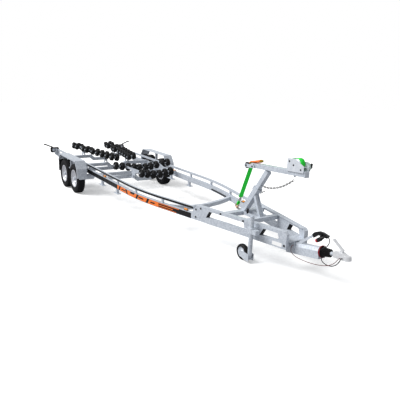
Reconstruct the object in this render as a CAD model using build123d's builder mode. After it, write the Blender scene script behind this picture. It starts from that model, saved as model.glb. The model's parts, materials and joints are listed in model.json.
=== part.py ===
from build123d import *
from math import cos, hypot, pi, radians, sin, tan
import os

# Tandem-axle multi-roller boat trailer. Millimetres, X forward, Y left, Z up.
# Everything is drawn on the level chassis, and stands nose down on its jockey wheel when it is parked.

# ---- driving dimensions -------------------------------------------------------------------------------
nose_down = 1.3  # degrees that the chassis leans forward when parked
x_shift = -2513.4  # puts the middle of the trailer's length at X = 0

tyre_radius = 325
tyre_width = 185
half_track = 1087
axle_half_spacing = 357

frame_half = 858  # outer faces of the straight side frames
bend_start = 2500
bend_radius = 5500
bend_angle = 12.27
frame_rear = -1950
ladder_start = 4400
ladder_end = 6140

rail_top, rail_height, rail_width = 652, 40, 40
beam_bottom, beam_height, beam_width = 445, 100, 60
ladder_bottom, ladder_height, ladder_width = 450, 237, 60

bend_end_x = bend_start + bend_radius * sin(radians(bend_angle))
bend_end_y = frame_half - bend_radius * (1 - cos(radians(bend_angle)))
slope = tan(radians(bend_angle))

parked = Location((x_shift, 0, 0)) * Location((0, 0, 0), (0, nose_down, 0))


def wheel_height(x, radius):
    """Height above the level chassis datum of a wheel's centre that touches the floor when parked."""
    return (radius + x * sin(radians(nose_down))) / cos(radians(nose_down))


def side_y(x, inset=0):
    """Distance from the middle to a side frame's face that lies inset inside its outer face."""
    if x <= bend_start:
        return frame_half - inset
    if x <= bend_end_x:
        radius = bend_radius - inset
        return frame_half - bend_radius + (radius**2 - (x - bend_start) ** 2) ** 0.5
    return bend_end_y - (x - bend_end_x) * slope - inset / cos(radians(bend_angle))


def save(piece, name, placing=Location()):
    """Stands a finished piece in its parked place and writes it."""
    standing = piece.moved(parked * placing)
    standing.label = name
    export_step(standing, f"parts/{name}.step")


os.makedirs("parts", exist_ok=True)

# ---- side frames: upper rail, lower beam and posts ----------------------------------------------------
post_places = [-1930, -1150, -350, 500, 1300, 2104, 2900, 3700]
post_length = 40
rail_overrun = 42  # the upper rail runs on into the slant of the ladder beam's end
# feet under the beams that take a stand when the trailer is stored: (x, length of the sole)
support_feet = [(1250, 240), (2050, 200)]
foot_bottom = 345


def side_strip(side, start, end, width):
    """Plan outline of a rail along one side."""
    middle_angle = radians(bend_angle / 2)
    inner_radius = bend_radius - width
    centre_y = frame_half - bend_radius
    inner_end_x = bend_start + inner_radius * sin(radians(bend_angle))
    inner_end_y = centre_y + inner_radius * cos(radians(bend_angle))
    across = radians(bend_angle)
    inner_end = (end - width * sin(across), side * (side_y(end) - width * cos(across)))
    arc_middle = [
        (bend_start + r * sin(middle_angle), side * (centre_y + r * cos(middle_angle)))
        for r in (bend_radius, inner_radius)
    ]
    with BuildLine() as strip:
        Line((start, side * frame_half), (bend_start, side * frame_half))
        ThreePointArc((bend_start, side * frame_half), arc_middle[0], (bend_end_x, side * bend_end_y))
        Line((bend_end_x, side * bend_end_y), (end, side * side_y(end)))
        Line((end, side * side_y(end)), inner_end)
        Line(inner_end, (inner_end_x, side * inner_end_y))
        ThreePointArc(
            (inner_end_x, side * inner_end_y), arc_middle[1], (bend_start, side * (frame_half - width))
        )
        Line((bend_start, side * (frame_half - width)), (start, side * (frame_half - width)))
        Line((start, side * (frame_half - width)), (start, side * frame_half))
    return strip.line


for side, side_name in ((1, "left"), (-1, "right")):
    beam_outline = side_strip(side, frame_rear, ladder_start, beam_width)
    rail_outline = side_strip(side, frame_rear, ladder_start + rail_overrun, rail_width)
    with BuildPart() as side_frame:
        with BuildSketch(Plane.XY.offset(beam_bottom)):
            add(beam_outline)
            make_face()
        extrude(amount=beam_height)
        with BuildSketch(Plane.XY.offset(rail_top - rail_height)):
            add(rail_outline)
            make_face()
        extrude(amount=rail_height)
        with BuildSketch(Plane.XY.offset(beam_bottom + beam_height)):
            for x in post_places:
                with Locations((x, side * (side_y(x) - rail_width / 2 - 2))):
                    Rectangle(post_length, rail_width - 8)
        extrude(amount=rail_top - rail_height - beam_bottom - beam_height)
        for x, length in support_feet:
            foot_y = side * (frame_half - beam_width / 2)
            with BuildSketch(Plane.XY.offset(foot_bottom)):
                with Locations((x, foot_y)):
                    Rectangle(length, beam_width + 20)
            extrude(amount=8)
            with BuildSketch(Plane.XY.offset(foot_bottom)):
                with Locations((x, foot_y)):
                    Rectangle(60, 40)
            extrude(amount=beam_bottom - foot_bottom)
    save(side_frame.part, f"{side_name}_side_frame")

conduit_radius, conduit_height = 12, 482
conduit_turn = bend_radius - beam_width - conduit_radius
conduit_start, conduit_end = 5.3, bend_angle
with BuildPart() as conduit:
    with BuildSketch(Plane.YZ.offset(bend_start)):
        with Locations((frame_half - beam_width - conduit_radius, conduit_height)):
            Circle(conduit_radius)
    revolve(
        axis=Axis((bend_start, frame_half - bend_radius, 0), (0, 0, -1)),
        revolution_arc=conduit_end - conduit_start,
    )
turned = Location((bend_start, frame_half - bend_radius, 0)) * Location((0, 0, 0), (0, 0, -conduit_start))
turned = turned * Location((-bend_start, bend_radius - frame_half, 0))
save(conduit.part, "conduit", turned)

# ---- ladder beams: deep front beams with windows ------------------------------------------------------
# windows along the beam from its rear end: (low start, high start, high end, low end)
ladder_length = (ladder_end - ladder_start) / cos(radians(bend_angle))
ladder_slant = 110  # the web's rear end leans forward above the lower beam
windows = [(325, 385, 1055, 1075), (1345, 1405, 1635, 1680)]
window_low, window_high = 94, 196
flange_width = 80
flange_thickness = 8

for side, side_name in ((1, "left"), (-1, "right")):
    forward = Vector(cos(radians(bend_angle)), -side * sin(radians(bend_angle)), 0)
    inward = Vector(-sin(radians(bend_angle)), -side * cos(radians(bend_angle)), 0)
    start = Vector(ladder_start, side * side_y(ladder_start), ladder_bottom)
    face = Plane(origin=start, x_dir=forward, z_dir=forward.cross(Vector(0, 0, 1)))
    depth = 1 if face.z_dir.dot(inward) > 0 else -1
    with BuildPart() as ladder_beam:
        with BuildSketch(face):
            with BuildLine():
                Polyline(
                    (0, 0),
                    (ladder_length, 0),
                    (ladder_length, ladder_height - 30),
                    (ladder_length - 40, ladder_height),
                    (ladder_slant, ladder_height),
                    (0, beam_bottom + beam_height - ladder_bottom + 2),
                    close=True,
                )
            make_face()
            for low_start, high_start, high_end, low_end in windows:
                with BuildLine():
                    Polyline(
                        (low_start, window_low),
                        (high_start, window_high),
                        (high_end, window_high),
                        (low_end, window_low),
                        close=True,
                    )
                make_face(mode=Mode.SUBTRACT)
        extrude(amount=depth * ladder_width)
        with BuildSketch(face):
            with Locations(((ladder_length + ladder_slant) / 2 - 20, ladder_height - flange_thickness / 2)):
                Rectangle(ladder_length - ladder_slant - 40, flange_thickness)
        extrude(amount=depth * flange_width)
    save(ladder_beam.part, f"{side_name}_ladder_beam")

# ---- roller cradles' places -----------------------------------------------------------------------------
arm_half = 12
hub_half = 22
pin_radius = 8
# cradles: (name, x of the cross member, (x, z) of the pivot, (x, |y|, z) of the rearmost and of the foremost rod)
cradles = [
    ("rear", -1200, (-1200, 645), (-1650, 445, 765), (-870, 375, 760)),
    ("middle", 0, (0, 645), (-500, 345, 770), (390, 210, 765)),
    ("front", 1500, (1750, 605), (1450, 400, 745), (2100, 265, 705)),
]


def pivot_y(pivot, rear, front):
    """Distance from the middle at which a cradle's arm passes its pivot."""
    return rear[1] + (front[1] - rear[1]) * (pivot[0] - rear[0]) / (front[0] - rear[0])


# ---- cross members ------------------------------------------------------------------------------------
# stepped members: (name, x of the middle)
member_length = 80
member_reach = frame_half - beam_width
member_top, member_bottom = 580, 510
member_drop, member_middle = 75, 200
for name, x, pivot, rear_rod, front_rod in cradles:
    pivot_x, pivot_z = pivot
    middle_y = pivot_y(pivot, rear_rod, front_rod)
    with BuildPart() as member:
        with BuildSketch(Plane.YZ.offset(x - member_length / 2)):
            with BuildLine():
                Polyline(
                    (-member_reach, member_bottom),
                    (-member_middle - 40, member_bottom),
                    (-member_middle + 40, member_bottom - member_drop),
                    (member_middle - 40, member_bottom - member_drop),
                    (member_middle + 40, member_bottom),
                    (member_reach, member_bottom),
                    (member_reach, member_top),
                    (member_middle, member_top),
                    (member_middle - 80, member_top - member_drop),
                    (-member_middle + 80, member_top - member_drop),
                    (-member_middle, member_top),
                    (-member_reach, member_top),
                    close=True,
                )
            make_face()
        extrude(amount=member_length)
        for side in (1, -1):
            for plate_y in (side * middle_y - hub_half - 11, side * middle_y + hub_half + 3):
                with BuildSketch(Plane.XZ.offset(-plate_y - 8)):
                    with BuildLine():
                        Polyline(
                            (x - 36, member_top - 40),
                            (pivot_x + 34, pivot_z - 52),
                            (pivot_x + 20, pivot_z + 14),
                            (pivot_x - 20, pivot_z + 14),
                            (pivot_x - 34, pivot_z - 33),
                            (x - 36, member_top - 10),
                            close=True,
                        )
                    make_face()
                extrude(amount=8)
            with BuildSketch(Plane.XZ.offset(-side * middle_y - hub_half - 11)):
                with Locations((pivot_x, pivot_z)):
                    Circle(pin_radius)
            extrude(amount=2 * hub_half + 22)
    save(member.part, f"{name}_cross_member")

bowed_x = 3760
bowed_reach = side_y(bowed_x + 40) - beam_width - 6
with BuildPart() as bowed_cross_member:
    with BuildSketch(Plane.YZ.offset(bowed_x - 35)):
        with BuildLine():
            Line((-bowed_reach, 460), (-bowed_reach, 530))
            ThreePointArc((-bowed_reach, 530), (0, 450), (bowed_reach, 530))
            Line((bowed_reach, 530), (bowed_reach, 460))
            ThreePointArc((bowed_reach, 460), (0, 380), (-bowed_reach, 460))
        make_face()
    extrude(amount=70)
    with BuildSketch(Plane.XY.offset(470)):
        for side in (1, -1):
            with BuildLine():
                Polyline(
                    (bowed_x - 35, side * (bowed_reach - 10)),
                    (bowed_x + 35, side * (bowed_reach - 10)),
                    (bowed_x + 35, side * side_y(bowed_x + 35, beam_width)),
                    (bowed_x - 35, side * side_y(bowed_x - 35, beam_width)),
                    close=True,
                )
            make_face()
    extrude(amount=50)
save(bowed_cross_member.part, "bowed_cross_member")

# ---- cross channels and nose plate that carry the winch post and the drawbar --------------------------
channel_top = 680
nose_x0, nose_x1 = 5960, ladder_end


def between_ladders(x0, x1, inset):
    """Plan outline that fills the gap between the ladder beams from x0 to x1."""
    with BuildLine() as gap:
        Polyline(
            (x0, side_y(x0, inset)),
            (x1, side_y(x1, inset)),
            (x1, -side_y(x1, inset)),
            (x0, -side_y(x0, inset)),
            close=True,
        )
    return gap.line


channel_outlines = [between_ladders(x0, x1, flange_width) for x0, x1 in ((4960, 5060), (5380, 5460))]
with BuildPart() as winch_footing:
    for outline in channel_outlines:
        with BuildSketch(Plane.XY.offset(channel_top - 60)):
            add(outline)
            make_face()
        extrude(amount=60)
    with BuildSketch(Plane.XY.offset(channel_top - 50)):
        with Locations((5220, 60), (5220, -60)):
            Rectangle(330, 12)
    extrude(amount=50)
save(winch_footing.part, "winch_footing")

# the drawbar's box, shaft and coupling are drawn level and then climb together from the nose
drawbar_climb = 9.4
drawbar_turn = (6000, 0, 445)
climbing = Location(drawbar_turn) * Location((0, 0, 0), (0, -drawbar_climb, 0))
climbing = climbing * Location((-drawbar_turn[0], 0, -drawbar_turn[2]))
box_x0, box_x1 = 6000, 6575
box_bottom, box_shoulder, box_top = 361, 463, 506
box_half, box_ridge = 60, 34
nose_top, nose_sheet = 552, 12
cheek = [(5985, 405), (6140, 405), (6166, 430), (6166, nose_top - 6), (5985, nose_top - 6)]
nose_outline = between_ladders(nose_x0, nose_x1, ladder_width)
with BuildPart() as nose_plate:
    with BuildSketch(Plane.XY.offset(nose_top - nose_sheet)):
        add(nose_outline)
        make_face()
    extrude(amount=nose_sheet)
    for side in (1, -1):
        with BuildSketch(Plane.XZ.offset(-side * (box_half + nose_sheet / 2) - nose_sheet / 2)):
            with BuildLine():
                Polyline(*cheek, close=True)
            make_face()
        extrude(amount=nose_sheet)
        with BuildSketch(Plane.YZ.offset(nose_x0 + 60)):
            with BuildLine():
                Polyline(
                    (side * (box_half + nose_sheet), 460),
                    (side * (side_y(nose_x0 + 90, ladder_width) - 2), 460),
                    (side * (side_y(nose_x0 + 90, ladder_width) - 2), nose_top - 6),
                    (side * (box_half + nose_sheet), nose_top - 6),
                    close=True,
                )
            make_face()
        extrude(amount=nose_sheet)
save(nose_plate.part, "nose_plate")

# ---- drawbar box, overrun shaft, bellows, coupling ----------------------------------------------------
shaft_z = 454
shaft_radius = 25
bellows_x0, bellows_x1 = box_x1, 6730
bellows_ribs = 6
head_x0, head_x1 = 6800, 7020
socket_radius, socket_depth = 25.3, 22
with BuildPart() as drawbar_box:
    with BuildSketch(Plane.YZ.offset(box_x0)):
        with BuildLine():
            Polyline(
                (-box_half, box_bottom),
                (box_half, box_bottom),
                (box_half, box_shoulder),
                (box_ridge, box_top),
                (-box_ridge, box_top),
                (-box_half, box_shoulder),
                close=True,
            )
        make_face()
        with Locations((0, shaft_z)):
            Circle(shaft_radius, mode=Mode.SUBTRACT)
    extrude(amount=box_x1 - box_x0)
save(drawbar_box.part, "drawbar_box", climbing)

with BuildPart() as overrun_shaft:
    with BuildSketch(Plane.YZ.offset(box_x0 + 60)):
        with Locations((0, shaft_z)):
            Circle(shaft_radius)
    extrude(amount=head_x0 - box_x0 - 60 + 60)
save(overrun_shaft.part, "overrun_shaft", climbing)

with BuildPart() as bellows:
    with BuildSketch(Plane.XZ) as bellows_outline:
        with BuildLine():
            points = [(bellows_x0, shaft_z + shaft_radius), (bellows_x0, shaft_z + 52)]
            pitch = (bellows_x1 - bellows_x0) / bellows_ribs
            for rib in range(bellows_ribs):
                rib_x = bellows_x0 + (rib + 0.5) * pitch
                points.append((rib_x, shaft_z + 62 - 2 * rib))
                points.append((rib_x + pitch / 2, shaft_z + 46 - 2 * rib))
            points.append((bellows_x1, shaft_z + shaft_radius))
            Polyline(*points, close=True)
        make_face()
    revolve(axis=Axis((0, 0, shaft_z), (1, 0, 0)))
save(bellows.part, "bellows", climbing)

with BuildPart() as coupling_head:
    with BuildSketch(Plane.XZ.offset(-32)):
        with BuildLine():
            Polyline(
                (head_x0 - 20, shaft_z - 32),
                (head_x0 - 20, shaft_z + 34),
                (head_x0 + 110, shaft_z + 40),
                (head_x1 - 40, shaft_z + 8),
                (head_x1 - 40, shaft_z - 46),
                (head_x0 + 120, shaft_z - 46),
                close=True,
            )
        make_face()
    extrude(amount=64)
    with BuildSketch(Plane.XY.offset(shaft_z - 46)):
        with Locations((head_x1 - 45, 0)):
            Circle(45)
    extrude(amount=54)
    with BuildSketch(Plane.XY.offset(shaft_z - 46)):
        with Locations((head_x1 - 45, 0)):
            Circle(socket_radius)
    extrude(amount=socket_depth, mode=Mode.SUBTRACT)
    with Locations((head_x1 - 45, 0, shaft_z - 46 + socket_depth)):
        Sphere(socket_radius, mode=Mode.SUBTRACT)
    with BuildSketch(Plane.YZ.offset(head_x0 - 20)):
        with Locations((0, shaft_z)):
            Circle(shaft_radius)
    extrude(amount=80, mode=Mode.SUBTRACT)
save(coupling_head.part, "coupling_head", climbing)

# the handle's outline: (x, height above the shaft)
handle_outline = [(6860, 37.7), (6905, 39.8), (6924, 68), (6784, 192), (6768, 178), (6884, 70)]
with BuildPart() as coupling_handle:
    with BuildSketch(Plane.XZ.offset(-14)):
        with BuildLine():
            Polyline(*[(x, shaft_z + rise) for x, rise in handle_outline], close=True)
        make_face()
    extrude(amount=28)
save(coupling_handle.part, "coupling_handle", climbing)

# ---- handbrake lever ----------------------------------------------------------------------------------
lever_y = -30
lever_thickness, grip_thickness = 12, 40
with BuildPart() as handbrake_lever:
    with BuildSketch(Plane.XZ.offset(-lever_y - lever_thickness / 2)):
        with BuildLine():
            Polyline(
                (6205, box_top), (6275, box_top), (6295, 530), (6484, 634.6), (6472, 659.8), (6240, 545), close=True
            )
        make_face()
    extrude(amount=lever_thickness)
save(handbrake_lever.part, "handbrake_lever", climbing)

# the plug is parked beside the grip, in a small holder
plug_nose, plug_tail = Vector(6568, -80, 599), Vector(6700, -80, 664)
plug_along = (plug_tail - plug_nose).normalized()
plug_length = (plug_tail - plug_nose).length
plug_radius = 27
with BuildPart() as lever_grip:
    with BuildSketch(Plane.XZ.offset(-lever_y - grip_thickness / 2)):
        with BuildLine():
            Polyline((6490, 622), (6530, 648), (6580, 664), (6630, 660), (6705, 640))
            Polyline((6705, 640), (6728, 672), (6640, 704), (6580, 712), (6512, 696), (6470, 664))
            Line((6470, 664), (6490, 622))
        make_face()
    extrude(amount=grip_thickness)
    with BuildSketch(Plane.XZ.offset(-lever_y + grip_thickness / 2)):
        with Locations((6625, 658)):
            Rectangle(30, 66)
    extrude(amount=12)
    with BuildSketch(Plane(origin=plug_nose, x_dir=(0, 1, 0), z_dir=plug_along)):
        Circle(plug_radius)
    extrude(amount=100, mode=Mode.SUBTRACT)
save(lever_grip.part, "lever_grip", climbing)

# ---- plug, its cable wound round the bellows, and the breakaway cable under the drawbar ----------------
with BuildPart() as trailer_plug:
    with BuildSketch(Plane(origin=plug_nose, x_dir=plug_along, z_dir=(0, -1, 0))):
        with BuildLine():
            Polyline(
                (0, 0),
                (0, 24),
                (28, 24),
                (28, plug_radius),
                (84, plug_radius),
                (104, 20),
                (plug_length, 12),
                (plug_length, 0),
                close=True,
            )
        make_face()
    revolve(axis=Axis(plug_nose, plug_along))
save(trailer_plug.part, "trailer_plug", climbing)


def cord_tube(route, radius):
    """Tube along straight runs and arcs as large as the runs allow, with its radii and its length."""
    points = [Vector(*point) for point in route]
    radii = []
    for before, corner, after in zip(points, points[1:], points[2:]):
        run_in, run_out = corner - before, after - corner
        half_turn = radians(run_in.get_angle(run_out) / 2)
        radii.append(0.45 * min(run_in.length, run_out.length) / tan(half_turn))
    with BuildPart() as tube:
        with BuildLine() as path:
            FilletPolyline(*points, radius=radii)
        wire = path.wire()
        with BuildSketch(Plane(origin=wire @ 0, z_dir=wire % 0)):
            Circle(radius)
        sweep()
    return tube.part, radii, wire.length


coil_inner, coil_outer = 64, 76
coil_start, coil_end = box_x1, box_x1 + 36
with BuildPart() as cable_coil:
    with BuildSketch(Plane.YZ.offset(coil_start)):
        with Locations((0, shaft_z)):
            Circle(coil_outer)
            Circle(coil_inner, mode=Mode.SUBTRACT)
    extrude(amount=coil_end - coil_start)
save(cable_coil.part, "cable_coil", climbing)

# routes: (x, y, z), the plug's cable along the climbing drawbar and the other on the level chassis
plug_cable_radius = 5.5
plug_cable_route = [
    (6700, -80, 664),
    (6729, -80, 678.28),
    (6764, -80, 670),
    (6782, -80, 636),
    (6770, -79, 592),
    (6733, -77, 551),
    (6683, -74, 521),
    (6634, -71, 503),
    (6604, -69, 481),
    (6596, -68.5, 452),
]
breakaway_radius = 4
breakaway_route = [
    (6150, -72, 505),
    (6150, -90, 505),
    (6147, -104, 483),
    (6144, -106, 448),
    (6154, -103, 410),
    (6190, -98, 385),
    (6246, -93, 371),
    (6324, -89, 366),
    (6404, -87, 368),
    (6486, -85, 376),
    (6570, -83, 388),
    (6655, -81, 407),
    (6730, -79, 431),
    (6790, -76, 462),
    (6840, -70, 503),
    (6866, -62, 545),
    (6880, -50, 574),
    (6880, -32, 574),
]
loop_radius = 5.5
loop_route = [
    (6603, -35, 393.4),
    (6606, -43, 379.5),
    (6618, -51, 356.5),
    (6648, -53, 331.5),
    (6693, -54, 315),
    (6745, -54, 310),
    (6797, -54, 318),
    (6843, -53, 340),
    (6877, -53, 368),
    (6905, -53, 404),
    (6920, -49, 432),
    (6920, -32, 432),
]
for name, route, radius, placing in (
    ("plug_cable", plug_cable_route, plug_cable_radius, climbing),
    ("loop_cable", loop_route, loop_radius, climbing),
    ("breakaway_cable", breakaway_route, breakaway_radius, Location()),
):
    tube, radii, length = cord_tube(route, radius)
    expected = pi * radius**2 * length
    print(name, "radii", [round(value) for value in radii], "length", round(length))
    print(name, "volume", round(tube.volume), "section times length", round(expected))
    save(tube, name, placing)

# ---- torsion axles ------------------------------------------------------------------------------------
axle_lead = 150  # the axle tube lies this far ahead of its wheels
axle_tube = 80
hub_radius = 118
spindle_radius = 20
pad_width = 50
disc_inner = 18  # the rim's disc starts this far outside the wheel's middle plane

for name, wheel_x in (("front_axle", axle_half_spacing), ("rear_axle", -axle_half_spacing)):
    wheel_z = wheel_height(wheel_x, tyre_radius)
    tube_x = wheel_x + axle_lead
    tube_z = beam_bottom - 5 - axle_tube / 2
    with BuildPart() as axle:
        with BuildSketch(Plane.XZ.offset(-905)):
            with Locations((tube_x, tube_z)):
                RectangleRounded(axle_tube, axle_tube, 12)
        extrude(amount=1810)
        with BuildSketch(Plane.XY.offset(beam_bottom - 6)):
            for side in (1, -1):
                with Locations((tube_x, side * (frame_half - beam_width / 2))):
                    Rectangle(120, pad_width)
        extrude(amount=6)
        for side in (1, -1):
            arm = Plane(origin=(0, side * 905, 0), x_dir=(1, 0, 0), z_dir=(0, side, 0))
            up = -side
            with BuildSketch(arm):
                with BuildLine():
                    Polyline(
                        (tube_x + 45, up * (tube_z - 40)),
                        (tube_x + 45, up * (tube_z + 35)),
                        (tube_x - 40, up * (tube_z + 40)),
                        (wheel_x - 45, up * (wheel_z + 35)),
                        (wheel_x - 45, up * (wheel_z - 35)),
                        (wheel_x + 30, up * (wheel_z - 45)),
                        close=True,
                    )
                make_face()
            extrude(amount=45)
            with BuildSketch(arm.offset(45)):
                with Locations((wheel_x, up * wheel_z)):
                    Circle(45)
            extrude(amount=60)
            with BuildSketch(arm.offset(90)):
                with Locations((wheel_x, up * wheel_z)):
                    Circle(hub_radius)
            extrude(amount=half_track + disc_inner - 6 - 905 - 90)
            with BuildSketch(arm.offset(100)):
                with Locations((wheel_x, up * wheel_z)):
                    Circle(spindle_radius)
            extrude(amount=half_track + disc_inner + 20 - 905 - 100)
    save(axle.part, name)

# ---- wheels -------------------------------------------------------------------------------------------
bead_radius = 182
rim_half = 76
# places: (name, x, side)
wheel_places = [
    ("front_left", axle_half_spacing, 1),
    ("front_right", axle_half_spacing, -1),
    ("rear_left", -axle_half_spacing, 1),
    ("rear_right", -axle_half_spacing, -1),
]
for name, wheel_x, side in wheel_places:
    wheel_z = wheel_height(wheel_x, tyre_radius)
    # wheel plane: local x is the radius, local y points out of the trailer
    spin = Axis((wheel_x, 0, wheel_z), (0, 1, 0))
    section = Plane(origin=(wheel_x, side * half_track, wheel_z), x_dir=(1, 0, 0), z_dir=(0, 0, side))
    half = tyre_width / 2
    with BuildPart() as tyre:
        with BuildSketch(section):
            with BuildLine():
                Line((bead_radius, -66), (bead_radius, 66))
                Line((bead_radius, 66), (205, 70))
                ThreePointArc((205, 70), (258, half), (306, 78))
                ThreePointArc((306, 78), (320, 70), (tyre_radius - 2, 56))
                ThreePointArc((tyre_radius - 2, 56), (tyre_radius, 0), (tyre_radius - 2, -56))
                ThreePointArc((tyre_radius - 2, -56), (320, -70), (306, -78))
                ThreePointArc((306, -78), (258, -half), (205, -70))
                Line((205, -70), (bead_radius, -66))
            make_face()
        revolve(axis=spin)
    save(tyre.part, f"{name}_tyre")
    with BuildPart() as rim:
        with BuildSketch(section):
            with BuildLine():
                Polyline(
                    (bead_radius, -66),
                    (bead_radius, 66),
                    (bead_radius, 67),
                    (196, 72),
                    (196, rim_half),
                    (bead_radius - 2, rim_half),
                    (172, 60),
                    (150, 40),
                    (134, 45),
                    (92, 45),
                    (80, 26),
                    (60, 26),
                    (54, 50),
                    (0, 52),
                    (0, 42),
                    (spindle_radius + 1, 42),
                    (spindle_radius + 1, disc_inner),
                    (84, disc_inner),
                    (92, disc_inner + 14),
                    (134, disc_inner + 14),
                    (148, disc_inner + 10),
                    (168, disc_inner + 10),
                    (172, -70),
                    (196, -rim_half),
                    (196, -72),
                    (bead_radius, -67),
                    close=True,
                )
            make_face()
        revolve(axis=spin)
        rim_face = Plane(origin=(wheel_x, side * half_track, wheel_z), x_dir=(1, 0, 0), z_dir=(0, side, 0))
        with BuildSketch(rim_face):
            with PolarLocations(113, 12, start_angle=15):
                SlotOverall(34, 18)
        extrude(amount=100, mode=Mode.SUBTRACT)
    save(rim.part, f"{name}_rim")

# ---- mudguards ----------------------------------------------------------------------------------------
guard_top = 763
guard_sheet = 4
guard_half_width = 112
guard_lip = 26
# outline from the top's edge down the front and down the rear: (x, z) from the middle between the axles
guard_steps = [(575, guard_top), (700, 600), (715, 400)]
guard_rear = [(-700, 600), (-575, guard_top)]
# bars that carry the mudguard from the side frame: (x, half length, bottom, top)
guard_bars = [(0, 16, 500, 530), (700, 15, 370, 400)]
hanger_width = 50
with BuildPart() as mudguards:
    for side in (1, -1):
        guard_y0 = side * half_track - guard_half_width
        with BuildSketch(Plane.XZ.offset(-guard_y0 - 2 * guard_half_width)):
            with BuildLine():
                Polyline(
                    *guard_rear,
                    *guard_steps,
                    (guard_steps[2][0] - guard_sheet, guard_steps[2][1]),
                    (guard_steps[1][0] - guard_sheet, guard_steps[1][1] - 1),
                    (guard_steps[0][0] - 2, guard_top - guard_sheet),
                    (guard_rear[1][0] + 2, guard_top - guard_sheet),
                    (guard_rear[0][0] + guard_sheet, guard_rear[0][1] - 1),
                    close=True,
                )
            make_face()
        extrude(amount=2 * guard_half_width)
        with BuildSketch(Plane.XZ.offset(-side * (half_track + guard_half_width - guard_sheet / 2) - 2)):
            with BuildLine():
                Polyline(
                    *guard_rear,
                    *guard_steps,
                    (guard_steps[2][0] - guard_lip, guard_steps[2][1]),
                    (guard_steps[1][0] - guard_lip, guard_steps[1][1] - 10),
                    (guard_steps[0][0] - 12, guard_top - guard_lip),
                    (guard_rear[1][0] + 12, guard_top - guard_lip),
                    (guard_rear[0][0] + guard_lip, guard_rear[0][1] - 10),
                    close=True,
                )
            make_face()
        extrude(amount=guard_sheet)
        for x, half_length, low, high in guard_bars:
            with BuildSketch(Plane.XY.offset(low)):
                with Locations((x, side * (frame_half + half_track + 60) / 2)):
                    Rectangle(2 * half_length, half_track + 60 - frame_half)
            extrude(amount=high - low)
        with BuildSketch(Plane.XY.offset(guard_bars[1][2])):
            with Locations((guard_bars[1][0], side * (frame_half - 13))):
                Rectangle(30, hanger_width)
        extrude(amount=beam_bottom - guard_bars[1][2])
        with BuildSketch(Plane.XY.offset(530)):
            with Locations((0, side * half_track)):
                Rectangle(32, 60)
        extrude(amount=guard_top - guard_sheet - 530)
save(mudguards.part, "mudguards")

flap_size = (8, 200, 280)
with BuildPart() as mudflaps:
    for side in (1, -1):
        with BuildSketch(Plane.XY.offset(330)):
            with Locations((guard_rear[0][0] - flap_size[0] / 2, side * half_track)):
                Rectangle(flap_size[0], flap_size[1])
        extrude(amount=flap_size[2])
save(mudflaps.part, "mudflaps")

# ---- winch post, arm and brace ------------------------------------------------------------------------
post_foot = (4998, 667)
post_head = (5475, 1358)
post_split = 0.60  # share of the post's length where the outer tube ends
post_outer, post_inner = 90, 74
post_vector = Vector(post_head[0] - post_foot[0], 0, post_head[1] - post_foot[1])
post_plane = Plane(
    origin=(post_foot[0], 0, post_foot[1]),
    x_dir=(0, 1, 0),
    z_dir=post_vector,
)
outer_length = post_vector.length * post_split
arm_rear, arm_front = (5135, 1390.4), (6190, 1446.4)
arm_size = 70
arm_vector = Vector(arm_front[0] - arm_rear[0], 0, arm_front[1] - arm_rear[1])
arm_plane = Plane(origin=(arm_rear[0], 0, arm_rear[1]), x_dir=(0, 1, 0), z_dir=arm_vector)
arm_up = arm_plane.y_dir

with BuildPart() as winch_post:
    with BuildSketch(post_plane):
        RectangleRounded(post_outer, post_outer, 8)
    extrude(amount=outer_length)
    with BuildSketch(post_plane.offset(outer_length - 60)):
        RectangleRounded(post_outer + 16, post_outer + 16, 8)
    extrude(amount=60)
    split(bisect_by=Plane.XY.offset(channel_top), keep=Keep.TOP)
save(winch_post.part, "winch_post")

bow_roller_x, bow_roller_z = 5045, 1376
bow_roller_radius, bow_roller_half = 48, 50
with BuildPart() as winch_arm:
    with BuildSketch(post_plane.offset(outer_length)):
        RectangleRounded(post_inner, post_inner, 6)
    extrude(amount=post_vector.length - outer_length)
    with BuildSketch(arm_plane):
        RectangleRounded(arm_size, arm_size, 6)
    extrude(amount=arm_vector.length)
    with BuildSketch(arm_plane.offset(arm_vector.length)):
        RectangleRounded(arm_size + 8, arm_size + 8, 6)
    extrude(amount=12)
    for side in (1, -1):
        with BuildSketch(Plane.XZ.offset(-side * (bow_roller_half + 7) - 3)):
            with Locations((bow_roller_x + 70, bow_roller_z + 3)):
                SlotOverall(220, 50, rotation=3)
        extrude(amount=6)
    with BuildSketch(Plane.XZ.offset(-bow_roller_half - 5)):
        with Locations((bow_roller_x, bow_roller_z)):
            Circle(pin_radius)
    extrude(amount=2 * bow_roller_half + 10)
    with BuildSketch(arm_plane):
        with Locations((44, 0), (-44, 0)):
            Rectangle(20, 44)
    extrude(amount=60)
    with BuildSketch(Plane.XZ.offset(-5)):
        with Locations((5347, 1126)):
            Rectangle(50, 26)
        with Locations((5990, 1392)):
            Rectangle(24, 30)
    extrude(amount=10)
save(winch_arm.part, "winch_arm")

brace_top, brace_foot = (5262, 1000), (5420, channel_top)
brace_vector = Vector(brace_top[0] - brace_foot[0], 0, brace_top[1] - brace_foot[1])
brace_plane = Plane(origin=(brace_foot[0], 0, brace_foot[1] - 60), x_dir=(0, 1, 0), z_dir=brace_vector)
with BuildPart() as winch_brace:
    with BuildSketch(brace_plane):
        with Locations((34, 0), (-34, 0)):
            Rectangle(8, 44)
        Rectangle(60, 10)
    extrude(amount=brace_vector.length + 150)
    split(bisect_by=Plane.XY.offset(channel_top), keep=Keep.TOP)
    post_front = Plane(post_plane.origin + post_plane.y_dir * -post_outer / 2, z_dir=-post_plane.y_dir)
    split(bisect_by=post_front, keep=Keep.TOP)
save(winch_brace.part, "winch_brace")

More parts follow.
